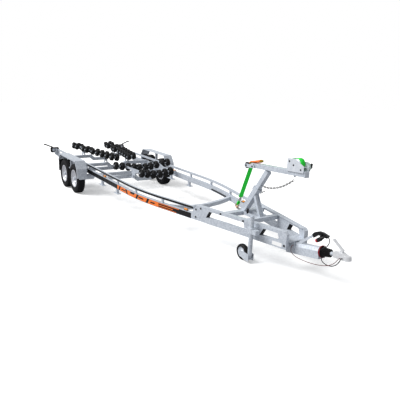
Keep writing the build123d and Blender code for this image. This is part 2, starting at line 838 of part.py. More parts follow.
# ---- bow roller ---------------------------------------------------------------------------------------
with BuildPart() as bow_roller:
    with BuildSketch(Plane.XZ.offset(-bow_roller_half)):
        with Locations((bow_roller_x, bow_roller_z)):
            Circle(bow_roller_radius)
            Circle(pin_radius + 0.5, mode=Mode.SUBTRACT)
    extrude(amount=2 * bow_roller_half)
save(bow_roller.part, "bow_roller")

# ---- winch: side plates, drum wound with webbing, crank -----------------------------------------------
winch_x0, winch_x1 = 5880, 6180
winch_top = 1618
plate_gap = 45
drum_x, drum_z = 6045, 1564
coil_radius = 72
crank_x, crank_z = 6125, 1528
with BuildPart() as winch_frame:
    for side in (1, -1):
        with BuildSketch(Plane.XZ.offset(-side * (plate_gap + 2.5) - 2.5)):
            with BuildLine():
                Polyline(
                    (winch_x0, 1448),
                    (winch_x0, winch_top - 16),
                    (winch_x0 + 16, winch_top),
                    (drum_x - 30, winch_top + 6),
                    (winch_x1, 1550),
                    (winch_x1, 1464),
                    close=True,
                )
            make_face()
        extrude(amount=5)
    with BuildSketch(Plane.XZ.offset(-plate_gap)):
        with BuildLine():
            Polyline((winch_x0, 1465), (winch_x0, 1471), (winch_x1, 1487), (winch_x1, 1481), close=True)
        make_face()
    extrude(amount=2 * plate_gap)
    with BuildSketch(arm_plane.offset(winch_x0 - arm_rear[0] + 20)):
        with Locations((0, arm_size / 2 + 4)):
            Rectangle(60, 7.9)
    extrude(amount=winch_x1 - winch_x0 - 40)
    with BuildSketch(Plane.XZ.offset(-plate_gap - 5)):
        with Locations((drum_x, drum_z)):
            Circle(pin_radius)
        with Locations((crank_x, crank_z)):
            Circle(pin_radius)
    extrude(amount=2 * plate_gap + 10)
save(winch_frame.part, "winch_frame")

with BuildPart() as winch_drum:
    with BuildSketch(Plane.XZ.offset(-plate_gap + 3)):
        with Locations((drum_x, drum_z)):
            Circle(coil_radius)
            Circle(pin_radius + 0.5, mode=Mode.SUBTRACT)
    extrude(amount=2 * plate_gap - 6)
save(winch_drum.part, "winch_drum")

ratchet_radius = 70
crank_y = plate_gap + 6
grip_x, grip_y, grip_z = 6145, 122, 1522
with BuildPart() as winch_crank:
    with BuildSketch(Plane.XZ.offset(-crank_y - 19)):
        with Locations((crank_x, crank_z)):
            Circle(ratchet_radius)
    extrude(amount=19)
    with BuildSketch(Plane.XZ.offset(-crank_y - 29)):
        with BuildLine():
            Polyline(
                (crank_x - 8, crank_z + 16),
                (crank_x - 12, crank_z - 12),
                (grip_x + 4, grip_z - 14),
                (grip_x + 12, grip_z + 8),
                close=True,
            )
        make_face()
    extrude(amount=10)
    with BuildSketch(Plane.XZ.offset(-grip_y)):
        with Locations((grip_x, grip_z)):
            Circle(8)
    extrude(amount=grip_y - crank_y - 29)
    with BuildSketch(Plane.XY.offset(grip_z - 12)):
        with Locations((grip_x, grip_y)):
            Circle(16)
    extrude(amount=66)
save(winch_crank.part, "winch_crank")

# ---- webbing: from the drum over the arm's rear edge, and down to the ring -----------------------------
webbing_width = 84
drop_foot = (4890, 850)
# the webbing's upper face: (x, z) from the drum to the foot
webbing_route = [(drum_x - 6, drum_z + coil_radius + 6), (5133, 1436), (5112, 1421), (5106, 1388), drop_foot]
webbing_back = [(4893, 849), (5109, 1387), (5115, 1419), (5135, 1433), (drum_x - 6, drum_z + coil_radius + 3)]
with BuildPart() as winch_webbing:
    with BuildSketch(Plane.XZ.offset(-webbing_width / 2)):
        with BuildLine():
            Polyline(*webbing_route, *webbing_back, close=True)
        make_face()
    extrude(amount=webbing_width)
save(winch_webbing.part, "winch_webbing")

# the sleeve's outline: (x, z)
sleeve_outline = [
    (5097, 1400),
    (5089, 1426),
    (5102, 1447),
    (5145, 1460),
    (5300, 1505),
    (5322, 1491),
    (5316, 1453),
    (5155, 1428.4),
    (5131, 1427.6),
    (5124, 1400.4),
]
with BuildPart() as webbing_sleeve:
    with BuildSketch(Plane.XZ.offset(-webbing_width / 2 - 8)):
        with BuildLine():
            Polyline(*sleeve_outline, close=True)
        make_face()
    extrude(amount=webbing_width + 16)
    add(winch_webbing.part, mode=Mode.SUBTRACT)
save(webbing_sleeve.part, "webbing_sleeve")

ring_x, ring_z = 4815, 700
with BuildPart() as strap_hook:
    with BuildSketch(Plane.XZ.offset(-12)):
        with BuildLine():
            Polyline(
                (drop_foot[0] + 2, drop_foot[1] - 1),
                (drop_foot[0] + 22, drop_foot[1] - 30),
                (ring_x + 28, ring_z + 60),
                (ring_x + 22, ring_z + 25),
                (ring_x + 2, ring_z + 32),
                (drop_foot[0] - 22, drop_foot[1] - 22),
                close=True,
            )
        make_face()
    extrude(amount=24)
    with BuildSketch(Plane.XZ.offset(-7)):
        with Locations((ring_x, ring_z)):
            Circle(36)
            Circle(22, mode=Mode.SUBTRACT)
    extrude(amount=14)
    with BuildSketch(Plane.XZ.offset(-20)):
        with BuildLine():
            Polyline(
                (ring_x + 10, ring_z - 40),
                (ring_x + 10, ring_z - 30),
                (4960, channel_top - 20),
                (4960, channel_top - 40),
                close=True,
            )
        make_face()
    extrude(amount=40)
save(strap_hook.part, "strap_hook")

# ---- safety chain between the post and the arm --------------------------------------------------------
chain_rear, chain_front = (5400, 1124), (5990, 1345)
chain_sag = 60
link_length, link_width, link_wire = 52, 32, 10
link_pitch = link_length - 2 * link_wire + 0.4
chain_run = chain_front[0] - chain_rear[0]
chain_climb = chain_front[1] - chain_rear[1]


def chain_point(share):
    """Point of the hanging chain at a share of its run."""
    sag = 4 * chain_sag * share * (1 - share)
    return Vector(chain_rear[0] + share * chain_run, 0, chain_rear[1] + share * chain_climb - sag)


link_shares = [0]
while link_shares[-1] < 1:
    share = link_shares[-1]
    slope_here = (chain_climb - 4 * chain_sag * (1 - 2 * share)) / chain_run
    link_shares.append(share + link_pitch / chain_run / hypot(1, slope_here))
with BuildPart() as safety_chain:
    for link, share in enumerate(link_shares[:-1]):
        along = (chain_point(share + 0.01) - chain_point(share - 0.01)).normalized()
        across = Vector(0, 1, 0) if link % 2 else along.cross(Vector(0, 1, 0))
        link_plane = Plane(origin=chain_point(share), x_dir=along, z_dir=across)
        with BuildSketch(link_plane.offset(-link_wire / 2)):
            SlotOverall(link_length, link_width)
            SlotOverall(link_length - 2 * link_wire, link_width - 2 * link_wire, mode=Mode.SUBTRACT)
        extrude(amount=link_wire)
save(safety_chain.part, "safety_chain")

# ---- jockey wheel -------------------------------------------------------------------------------------
jockey_x, jockey_y = 5650, -382
jockey_wheel_x = 5495
jockey_radius, jockey_half_width = 115, 36
jockey_wheel_z = wheel_height(jockey_wheel_x, jockey_radius)
outer_tube_radius, inner_tube_radius = 31, 25
clamp_bottom, clamp_top = 560, 640
tube_bottom, tube_top = 228, 800
fork_top = 200
with BuildPart() as jockey_clamp:
    with BuildSketch(Plane.XY.offset(clamp_bottom)):
        with Locations((jockey_x, jockey_y)):
            RectangleRounded(110, 86, 20)
        with BuildLine():
            Polyline(
                (jockey_x - 60, jockey_y + 20),
                (jockey_x + 60, jockey_y + 20),
                (jockey_x + 60, -side_y(jockey_x + 60)),
                (jockey_x - 60, -side_y(jockey_x - 60)),
                close=True,
            )
        make_face()
        with Locations((jockey_x, jockey_y)):
            Circle(outer_tube_radius, mode=Mode.SUBTRACT)
    extrude(amount=clamp_top - clamp_bottom)
    with BuildSketch(Plane.XZ.offset(-jockey_y + 40)):
        with Locations((jockey_x + 95, (clamp_bottom + clamp_top) / 2)):
            Rectangle(80, 60)
    extrude(amount=-70)
    with BuildSketch(Plane.YZ.offset(jockey_x - 140)):
        with Locations((jockey_y - 20, (clamp_bottom + clamp_top) / 2)):
            Circle(7)
    extrude(amount=100)
save(jockey_clamp.part, "jockey_clamp")

with BuildPart() as jockey_tube:
    with BuildSketch(Plane.XY.offset(tube_bottom)):
        with Locations((jockey_x, jockey_y)):
            Circle(outer_tube_radius)
            Circle(inner_tube_radius + 0.5, mode=Mode.SUBTRACT)
    extrude(amount=tube_top - 30 - tube_bottom)
    with BuildSketch(Plane.XY.offset(tube_top - 30)):
        with Locations((jockey_x, jockey_y)):
            Circle(outer_tube_radius)
    extrude(amount=30)
    with BuildSketch(Plane.XZ.offset(-jockey_y + 6)):
        with Locations((jockey_x - 50, tube_top + 12)):
            Rectangle(130, 14)
        with Locations((jockey_x - 108, tube_top + 45)):
            Rectangle(14, 70)
        with Locations((jockey_x, tube_top + 6)):
            Rectangle(24, 14)
    extrude(amount=-12)
save(jockey_tube.part, "jockey_tube")

leg_top = 560
with BuildPart() as jockey_leg:
    with BuildSketch(Plane.XY.offset(fork_top + 1)):
        with Locations((jockey_x, jockey_y)):
            Circle(inner_tube_radius)
    extrude(amount=leg_top - fork_top - 1)
save(jockey_leg.part, "jockey_leg")

fork_half = jockey_half_width + 6
with BuildPart() as jockey_fork:
    with BuildSketch(Plane.XY.offset(fork_top - 12)):
        with Locations((jockey_x, jockey_y)):
            Rectangle(64, 2 * fork_half + 12)
    extrude(amount=12)
    for side in (1, -1):
        with BuildSketch(Plane.XZ.offset(-jockey_y - side * (fork_half + 3) - 3)):
            with BuildLine():
                Polyline(
                    (jockey_x + 30, fork_top - 38),
                    (jockey_x + 30, fork_top + 60),
                    (jockey_x - 30, fork_top + 68),
                    (jockey_wheel_x - 22, jockey_wheel_z + 36),
                    (jockey_wheel_x - 46, jockey_wheel_z + 16),
                    (jockey_wheel_x - 46, jockey_wheel_z - 16),
                    (jockey_wheel_x - 20, jockey_wheel_z - 40),
                    (jockey_x - 70, fork_top - 38),
                    close=True,
                )
            make_face()
        extrude(amount=6)
    with BuildSketch(Plane.XZ.offset(-jockey_y - fork_half - 4)):
        with Locations((jockey_wheel_x, jockey_wheel_z)):
            Circle(pin_radius)
    extrude(amount=2 * fork_half + 8)
save(jockey_fork.part, "jockey_fork")

with BuildPart() as jockey_wheel:
    with BuildSketch(Plane(origin=(jockey_wheel_x, jockey_y, jockey_wheel_z), x_dir=(1, 0, 0), z_dir=(0, 0, 1))):
        with BuildLine():
            Polyline((pin_radius + 0.5, -jockey_half_width), (40, -jockey_half_width), (44, -20))
            Polyline((44, -20), (70, -20), (76, -jockey_half_width + 4), (102, -jockey_half_width + 2))
            ThreePointArc((102, -jockey_half_width + 2), (jockey_radius, 0), (102, jockey_half_width - 2))
            Polyline((102, jockey_half_width - 2), (76, jockey_half_width - 4), (70, 20), (44, 20))
            Polyline((44, 20), (40, jockey_half_width), (pin_radius + 0.5, jockey_half_width))
            Line((pin_radius + 0.5, jockey_half_width), (pin_radius + 0.5, -jockey_half_width))
        make_face()
    revolve(axis=Axis((jockey_wheel_x, 0, jockey_wheel_z), (0, 1, 0)))
save(jockey_wheel.part, "jockey_wheel")

# ---- rear lamps, marker arms, side markers ------------------------------------------------------------
lamp_y, lamp_z = 930, 632
lamp_size = (60, 220, 140)
with BuildPart() as rear_lamps:
    for side in (1, -1):
        with BuildSketch(Plane.YZ.offset(frame_rear - lamp_size[0])):
            with Locations((side * lamp_y, lamp_z)):
                RectangleRounded(lamp_size[1], lamp_size[2], 30)
        extrude(amount=lamp_size[0])
        with BuildSketch(Plane.YZ.offset(frame_rear - 12)):
            with BuildLine():
                Polyline(
                    (side * 800, beam_bottom + 10),
                    (side * 800, 540),
                    (side * 850, lamp_z - 40),
                    (side * 940, lamp_z - 40),
                    (side * 940, 520),
                    (side * 850, beam_bottom + 10),
                    close=True,
                )
            make_face()
        extrude(amount=12)
save(rear_lamps.part, "rear_lamps")

with BuildPart() as marker_arms:
    for side in (1, -1):
        with BuildSketch(Plane.YZ.offset(frame_rear - 40)):
            with BuildLine():
                Polyline(
                    (side * (lamp_y + 42), lamp_z + 70),
                    (side * (lamp_y + 86), lamp_z + 70),
                    (side * 1168, 758),
                    (side * 1205, 758),
                    (side * 1205, 800),
                    (side * 1146, 800),
                    close=True,
                )
            make_face()
        extrude(amount=32)
save(marker_arms.part, "marker_arms")

marker_places = [1400, 4250]
with BuildPart() as side_markers:
    for side in (1, -1):
        for x in marker_places:
            y = side_y(x) - beam_width / 2
            with BuildSketch(Plane.XY.offset(beam_bottom + beam_height)):
                with Locations((x, side * y)):
                    RectangleRounded(90, 40, 8)
            extrude(amount=34)
save(side_markers.part, "side_markers")

# ---- roller cradles -----------------------------------------------------------------------------------
roller_radius, roller_half = 86, 37
rod_radius = 9
rod_tilt = 8
# rods: cradle to each rod's share of the way from the rearmost to the foremost, and its rollers' offsets outwards
pair = [-64, 64]
roller_rows = {
    "rear": [(0, pair), (0.245, pair), (0.755, pair), (1, pair)],
    "middle": [(0, pair), (0.25, pair), (0.5, pair), (0.75, pair), (1, pair)],
    "front": [(0, [-330, -205, -70, 70, 210]), (1, [-195, -65, 65])],
}
for name, member_x, pivot, rear_rod, front_rod in cradles:
    pivot_x, pivot_z = pivot
    middle_y = pivot_y(pivot, rear_rod, front_rod)
    for side, side_name in ((1, "left"), (-1, "right")):
        rod_direction = Vector(0, cos(radians(rod_tilt)), side * sin(radians(rod_tilt)))
        arm_origin = Vector(pivot_x, side * middle_y, 0)
        arm_along = Vector(front_rod[0] - rear_rod[0], side * (front_rod[1] - rear_rod[1]), 0).normalized()
        arm_plane_here = Plane(origin=arm_origin, x_dir=arm_along, z_dir=arm_along.cross(Vector(0, 0, 1)))
        rear_end = (rear_rod[0] - pivot_x) / arm_along.X
        front_end = (front_rod[0] - pivot_x) / arm_along.X
        with BuildPart() as cradle:
            with BuildSketch(arm_plane_here.offset(-arm_half)):
                with BuildLine():
                    Polyline(
                        (rear_end - 28, rear_rod[2] + 20),
                        (rear_end - 28, rear_rod[2] - 26),
                        (-80, rear_rod[2] - 28),
                        (-34, pivot_z - 20),
                        (34, pivot_z - 20),
                        (80, front_rod[2] - 28),
                        (front_end + 28, front_rod[2] - 26),
                        (front_end + 28, front_rod[2] + 20),
                        close=True,
                    )
                make_face()
            extrude(amount=2 * arm_half)
            with BuildSketch(Plane.XZ.offset(-side * middle_y - hub_half)):
                with Locations((pivot_x, pivot_z)):
                    Circle(pin_radius + 10)
            extrude(amount=2 * hub_half)
            first = Vector(rear_rod[0], side * rear_rod[1], rear_rod[2])
            last = Vector(front_rod[0], side * front_rod[1], front_rod[2])
            for share, outward in roller_rows[name]:
                offsets = [side * offset for offset in outward]
                rod_low, rod_high = min(offsets) - roller_half - 12, max(offsets) + roller_half + 12
                rod_plane = Plane(origin=first + (last - first) * share, x_dir=(1, 0, 0), z_dir=rod_direction)
                with BuildSketch(rod_plane.offset(rod_low)):
                    Circle(rod_radius)
                extrude(amount=rod_high - rod_low)
                for offset in offsets:
                    with BuildSketch(rod_plane.offset(offset - roller_half)):
                        Circle(roller_radius)
                    extrude(amount=2 * roller_half)
            with BuildSketch(Plane.XZ.offset(-side * middle_y - hub_half)):
                with Locations((pivot_x, pivot_z)):
                    Circle(pin_radius + 0.5)
            extrude(amount=2 * hub_half, mode=Mode.SUBTRACT)
        save(cradle.part, f"{name}_{side_name}_cradle")
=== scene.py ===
import bmesh
import bpy
import json
import math
from mathutils import Matrix, Vector


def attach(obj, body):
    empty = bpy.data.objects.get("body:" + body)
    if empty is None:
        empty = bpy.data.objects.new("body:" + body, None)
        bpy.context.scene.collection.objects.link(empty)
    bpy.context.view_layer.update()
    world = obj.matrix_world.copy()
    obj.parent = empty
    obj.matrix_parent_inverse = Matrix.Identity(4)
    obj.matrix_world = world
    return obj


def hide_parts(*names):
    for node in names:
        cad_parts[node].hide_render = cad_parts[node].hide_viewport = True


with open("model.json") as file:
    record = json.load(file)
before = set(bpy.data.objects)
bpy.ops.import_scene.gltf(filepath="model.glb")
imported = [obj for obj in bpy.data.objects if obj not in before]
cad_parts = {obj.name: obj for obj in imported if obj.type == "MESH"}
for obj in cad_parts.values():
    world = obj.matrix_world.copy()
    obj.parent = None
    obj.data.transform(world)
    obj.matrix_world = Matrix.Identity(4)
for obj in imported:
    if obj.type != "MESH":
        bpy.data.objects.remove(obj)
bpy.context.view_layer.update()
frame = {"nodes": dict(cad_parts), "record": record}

# Everything below is drawn on the level chassis, in metres, and put in the frame by the parked transform.
NOSE_DOWN = math.radians(1.3)
X_SHIFT = -2.5134
PARKED = Matrix.Translation((X_SHIFT, 0, 0)) @ Matrix.Rotation(NOSE_DOWN, 4, "Y")
DRAWBAR_CLIMB = math.radians(9.4)
DRAWBAR_TURN = Vector((6.0, 0, 0.445))
CLIMBING = (
    Matrix.Translation(DRAWBAR_TURN)
    @ Matrix.Rotation(-DRAWBAR_CLIMB, 4, "Y")
    @ Matrix.Translation(-DRAWBAR_TURN)
)

# ---- camera ---------------------------------------------------------------------------------------------
YAW, PITCH, ROLL = 2.5617, 0.2569, 0.0392
CAMERA_AT = Vector((10.1333, -4.1736, 2.5316))
ahead = Vector((math.cos(PITCH) * math.cos(YAW), math.cos(PITCH) * math.sin(YAW), -math.sin(PITCH)))
level_right = Vector((math.sin(YAW), -math.cos(YAW), 0))
level_up = level_right.cross(ahead)
right = level_right * math.cos(ROLL) + level_up * math.sin(ROLL)
up = level_up * math.cos(ROLL) - level_right * math.sin(ROLL)
camera = bpy.data.objects.new("camera", bpy.data.cameras.new("camera"))
bpy.context.scene.collection.objects.link(camera)
pose = Matrix((right, up, -ahead)).transposed().to_4x4()
pose.translation = CAMERA_AT
camera.matrix_world = PARKED @ pose
camera.data.lens = 40.5
camera.data.sensor_width = 36
camera.data.clip_end = 200
bpy.context.scene.camera = camera

# ---- cords' diameters -------------------------------------------------------------------------------------
BLACK_CABLE, RED_CABLE = 0.011, 0.008

# faces of a box whose eight corners are its outer four and then its inner four
BOX_FACES = [(0, 1, 2, 3), (7, 6, 5, 4), (0, 4, 5, 1), (1, 5, 6, 2), (2, 6, 7, 3), (3, 7, 4, 0)]

# ---- materials ------------------------------------------------------------------------------------------
def plain(name, color, rough=0.5, metal=0.0, coat=0.0, spec=0.5):
    """A material with constant values."""
    made = bpy.data.materials.new(name)
    made.use_nodes = True
    shader = made.node_tree.nodes["Principled BSDF"]
    shader.inputs["Base Color"].default_value = (*color, 1)
    shader.inputs["Roughness"].default_value = rough
    shader.inputs["Metallic"].default_value = metal
    shader.inputs["Coat Weight"].default_value = coat
    shader.inputs["Specular IOR Level"].default_value = spec
    return made


def mottled(name, dark, light, scale, rough=0.5, metal=0.0, bump=0.0, kind="NOISE", spec=0.5):
    """A material whose colour wanders between two values, with an optional fine bump."""
    made = plain(name, light, rough, metal, 0.0, spec)
    tree = made.node_tree
    shader = tree.nodes["Principled BSDF"]
    place = tree.nodes.new("ShaderNodeTexCoord")
    if kind == "CELLS":
        pattern = tree.nodes.new("ShaderNodeTexVoronoi")
        pattern.inputs["Scale"].default_value = scale
        pattern.feature = "F1"
        value = pattern.outputs["Color"]
    else:
        pattern = tree.nodes.new("ShaderNodeTexNoise")
        pattern.inputs["Scale"].default_value = scale
        pattern.inputs["Detail"].default_value = 4
        value = pattern.outputs["Fac"]
    tree.links.new(place.outputs["Object"], pattern.inputs["Vector"])
    ramp = tree.nodes.new("ShaderNodeValToRGB")
    ramp.color_ramp.elements[0].position = 0.3
    ramp.color_ramp.elements[1].position = 0.7
    ramp.color_ramp.elements[0].color = (*dark, 1)
    ramp.color_ramp.elements[1].color = (*light, 1)
    tree.links.new(value, ramp.inputs["Fac"])
    tree.links.new(ramp.outputs["Color"], shader.inputs["Base Color"])
    if bump:
        relief = tree.nodes.new("ShaderNodeBump")
        relief.inputs["Strength"].default_value = bump
        relief.inputs["Distance"].default_value = 0.002
        tree.links.new(value, relief.inputs["Height"])
        tree.links.new(relief.outputs["Normal"], shader.inputs["Normal"])
    return made


GALV = mottled("galvanised_steel", (0.50, 0.54, 0.60), (0.61, 0.65, 0.71), 45, 0.48, 0.25, 0.04, "CELLS", 0.4)
PALE = mottled("zinc_sheet", (0.62, 0.66, 0.72), (0.78, 0.81, 0.86), 20, 0.35, 0.3, 0.03)
TYRE = mottled("tyre_rubber", (0.006, 0.006, 0.007), (0.013, 0.013, 0.015), 30, 0.8, 0, 0.1, spec=0.18)
RIM = mottled("rim_silver", (0.55, 0.56, 0.60), (0.66, 0.67, 0.71), 12, 0.38, 0.45, 0.02)
RUBBER = mottled("black_rubber", (0.004, 0.004, 0.005), (0.009, 0.009, 0.010), 60, 0.62, 0, 0.1, spec=0.25)
BLACK = plain("black_plastic", (0.005, 0.005, 0.006), 0.42, spec=0.3)
ZINC = mottled("zinc_steel", (0.70, 0.71, 0.73), (0.86, 0.87, 0.89), 60, 0.32, 0.45, 0.03)
GREEN = mottled("green_webbing", (0.006, 0.62, 0.03), (0.01, 0.85, 0.05), 200, 0.8, 0, 0.2)
ORANGE = plain("orange_film", (0.88, 0.19, 0.02), 0.35)
AMBER = plain("amber_lens", (0.95, 0.33, 0.02), 0.2, 0, 0.5)
RED = plain("red_lens", (0.6, 0.02, 0.02), 0.2, 0, 0.5)
BRAKE = plain("brake_disc_paint", (0.33, 0.40, 0.38), 0.45)
RED_CAP = plain("red_cap", (0.55, 0.01, 0.03), 0.4)
STRAP = mottled("strap_steel", (0.28, 0.28, 0.28), (0.50, 0.49, 0.48), 80, 0.35, 0.7)
DARK_RED = plain("dark_red_cord", (0.10, 0.008, 0.010), 0.5)
COPPER = plain("coppery_steel", (0.62, 0.36, 0.20), 0.35, 0.8)
BOLT = plain("dark_bolt", (0.05, 0.05, 0.055), 0.45, 0.4)

SLOTS = {
    "galvanised_steel": GALV,
    "frame_black_stripe": GALV,
    "tyre_rubber": TYRE,
    "rim_silver": RIM,
    "black_rubber": RUBBER,
    "black_plastic": BLACK,
    "white_paint": PALE,
    "cast_silver": ZINC,
    "green_webbing": GREEN,
    "orange_plastic": ORANGE,
    "amber_lens": AMBER,
    "strap_steel": STRAP,
}
node_slots = {part["node"]: part["material_slot"] for part in frame["record"]["subparts"]}
for node, piece in frame["nodes"].items():
    piece.data.materials.clear()
    piece.data.materials.append(SLOTS[node_slots[node]])

# ---- shapes ---------------------------------------------------------------------------------------------
class Shape:
    """Collects faces on the level chassis and becomes one mesh that rides on a body."""

    def __init__(self):
        self.points, self.faces, self.slots, self.smooth = [], [], [], []
        self.place = Matrix()

    def add(self, points, faces, slot=0, smooth=False):
        base = len(self.points)
        self.points += [self.place @ Vector(point) for point in points]
        self.faces += [tuple(base + index for index in face) for face in faces]
        self.slots += [slot] * len(faces)
        self.smooth += [smooth] * len(faces)

    def prism(self, outline, low, high, axis="Y", slot=0):
        """A flat outline pushed along an axis: Y takes (x, z), X takes (y, z), Z takes (x, y)."""
        place = {
            "Y": lambda a, b, c: (a, c, b),
            "X": lambda a, b, c: (c, a, b),
            "Z": lambda a, b, c: (a, b, c),
        }[axis]
        count = len(outline)
        points = [place(a, b, low) for a, b in outline] + [place(a, b, high) for a, b in outline]
        faces = [tuple(range(count)), tuple(range(2 * count - 1, count - 1, -1))]
        faces += [(k, (k + 1) % count, (k + 1) % count + count, k + count) for k in range(count)]
        self.add(points, faces, slot)

    def box(self, centre, size, turn=None, slot=0):
        """A box of the given size, turned about its centre."""
        turn = turn or Matrix()
        points = [
            Vector(centre) + (turn @ Vector((a * size[0] / 2, b * size[1] / 2, c * size[2] / 2)))
            for a in (-1, 1)
            for b in (-1, 1)
            for c in (-1, 1)
        ]
        faces = [(0, 1, 3, 2), (4, 6, 7, 5), (0, 4, 5, 1), (2, 3, 7, 6), (0, 2, 6, 4), (1, 5, 7, 3)]
        self.add(points, faces, slot)

    def lathe(self, profile, centre, axis=(0, 1, 0), steps=32, slot=0, vary=None, closed=True, smooth=True):
        """A profile of (radius, distance along the axis) turned about an axis through the centre."""
        axis = Vector(axis).normalized()
        side = axis.orthogonal().normalized()
        other = axis.cross(side)
        points = []
        for step in range(steps):
            angle = 2 * math.pi * step / steps
            out = side * math.cos(angle) + other * math.sin(angle)
            for index, (radius, along) in enumerate(profile):
                change = vary(step, index) if vary else 0
                points.append(Vector(centre) + out * (radius + change) + axis * along)
        count = len(profile)
        rows = range(count) if closed else range(count - 1)
        faces = []
        for step in range(steps):
            near, far = step * count, (step + 1) % steps * count
            for row in rows:
                nxt = (row + 1) % count
                faces.append((near + row, near + nxt, far + nxt, far + row))
        self.add(points, faces, slot, smooth)

    def rod(self, start, end, radius, steps=12, slot=0, smooth=True):
        """A round bar between two points."""
        start, end = Vector(start), Vector(end)
        axis = (end - start).normalized()
        side = axis.orthogonal().normalized()
        other = axis.cross(side)
        ring = [
            side * radius * math.cos(2 * math.pi * k / steps) + other * radius * math.sin(2 * math.pi * k / steps)
            for k in range(steps)
        ]
        points = [start + p for p in ring] + [end + p for p in ring]
        sides = [(k, (k + 1) % steps, (k + 1) % steps + steps, k + steps) for k in range(steps)]
        self.add(points, sides, slot, smooth)
        self.add(points, [tuple(range(steps - 1, -1, -1)), tuple(range(steps, 2 * steps))], slot)

    def tube(self, path, radius, steps=10, slot=0):
        """A round tube along a list of points."""
        path = [Vector(point) for point in path]
        side = (path[1] - path[0]).orthogonal().normalized()
        points = []
        for index, point in enumerate(path):
            before, after = path[max(index - 1, 0)], path[min(index + 1, len(path) - 1)]
            axis = (after - before).normalized()
            side = (side - axis * side.dot(axis)).normalized()
            other = axis.cross(side)
            for k in range(steps):
                angle = 2 * math.pi * k / steps
                points.append(point + (side * math.cos(angle) + other * math.sin(angle)) * radius)
        faces = []
        for row in range(len(path) - 1):
            for k in range(steps):
                a, b = row * steps + k, row * steps + (k + 1) % steps
                faces.append((a, b, b + steps, a + steps))
        self.add(points, faces, slot, True)
        last = (len(path) - 1) * steps
        self.add(points, [tuple(range(steps - 1, -1, -1)), tuple(range(last, last + steps))], slot)

    def bolt(self, place, axis, radius=0.010, height=0.010, slot=0):
        """A hexagon head with its washer."""
        place, axis = Vector(place), Vector(axis).normalized()
        self.rod(place, place + axis * 0.002, radius * 1.35, 14, slot)
        self.rod(place, place + axis * height, radius, 6, slot, False)

    def make(self, name, body, materials, replaces=(), placing=None, bevel=0.0, slot_name=None):
        """The mesh object, in the parked frame."""
        mesh = bpy.data.meshes.new(name)
        whole = PARKED @ placing if placing else PARKED
        mesh.from_pydata([whole @ point for point in self.points], [], self.faces)
        for material in materials:
            mesh.materials.append(material)
        for face, slot, smooth in zip(mesh.polygons, self.slots, self.smooth):
            face.material_index = slot
            face.use_smooth = smooth
        clean = bmesh.new()
        clean.from_mesh(mesh)
        bmesh.ops.recalc_face_normals(clean, faces=clean.faces)
        clean.to_mesh(mesh)
        clean.free()
        made = bpy.data.objects.new(name, mesh)
        bpy.context.scene.collection.objects.link(made)
        if bevel:
            soften = made.modifiers.new("soften", "BEVEL")
            soften.width = bevel
            soften.segments = 2
            soften.limit_method = "ANGLE"
        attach(made, body)
        if replaces:
            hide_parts(*replaces)
        return made


def rect(low_a, low_b, high_a, high_b):
    """Corners of a rectangle."""
    return [(low_a, low_b), (high_a, low_b), (high_a, high_b), (low_a, high_b)]


def wheel_height(x, radius):
    """Height above the chassis datum of a wheel's centre that touches the floor when parked."""
    return (radius + x * math.sin(NOSE_DOWN)) / math.cos(NOSE_DOWN)


FRAME_HALF, BEND_START, BEND_RADIUS, BEND_ANGLE = 0.858, 2.5, 5.5, math.radians(12.27)
BEND_END = BEND_START + BEND_RADIUS * math.sin(BEND_ANGLE)
BEND_END_Y = FRAME_HALF - BEND_RADIUS * (1 - math.cos(BEND_ANGLE))


def side_y(x, inset=0.0):
    """Distance from the middle to a side frame's face that lies inset inside its outer face."""
    if x <= BEND_START:
        return FRAME_HALF - inset
    if x <= BEND_END:
        radius = BEND_RADIUS - inset
        return FRAME_HALF - BEND_RADIUS + math.sqrt(radius**2 - (x - BEND_START) ** 2)
    return BEND_END_Y - (x - BEND_END) * math.tan(BEND_ANGLE) - inset / math.cos(BEND_ANGLE)


# ---- tyres ----------------------------------------------------------------------------------------------
WHEELS = [
    ("front_left", 0.357, 1),
    ("front_right", 0.357, -1),
    ("rear_left", -0.357, 1),
    ("rear_right", -0.357, -1),
]
TREAD = [
    (0.182, -0.066), (0.182, 0.066), (0.190, 0.069), (0.205, 0.071), (0.222, 0.0815), (0.240, 0.0895),
    (0.262, 0.0915), (0.282, 0.0875), (0.300, 0.0805), (0.312, 0.0765), (0.3215, 0.070), (0.3235, 0.050),
    (0.3235, 0.0475), (0.3165, 0.0465), (0.3165, 0.0395), (0.3243, 0.0385), (0.3247, 0.016), (0.3175, 0.015),
    (0.3175, 0.009), (0.325, 0.008), (0.325, -0.008), (0.3175, -0.009), (0.3175, -0.015), (0.3247, -0.016),
    (0.3243, -0.0385), (0.3165, -0.0395), (0.3165, -0.0465), (0.3235, -0.0475), (0.3235, -0.050),
    (0.3215, -0.070), (0.312, -0.0765), (0.300, -0.0805), (0.282, -0.0875), (0.262, -0.0915),
    (0.240, -0.0895), (0.222, -0.0815), (0.205, -0.071), (0.190, -0.069),
]
SHOULDER = {9, 10, 11, 12, 27, 28, 29, 30}


HUB_CAP = [(0.0, 0.0), (0.034, 0.0), (0.034, 0.030), (0.028, 0.036), (0.0, 0.037)]


def tread_cut(step, index):
    """The shoulder's cross grooves: one step in four is sunk."""
    if index in SHOULDER and step % 4 == 0:
        return -0.006
    return 0


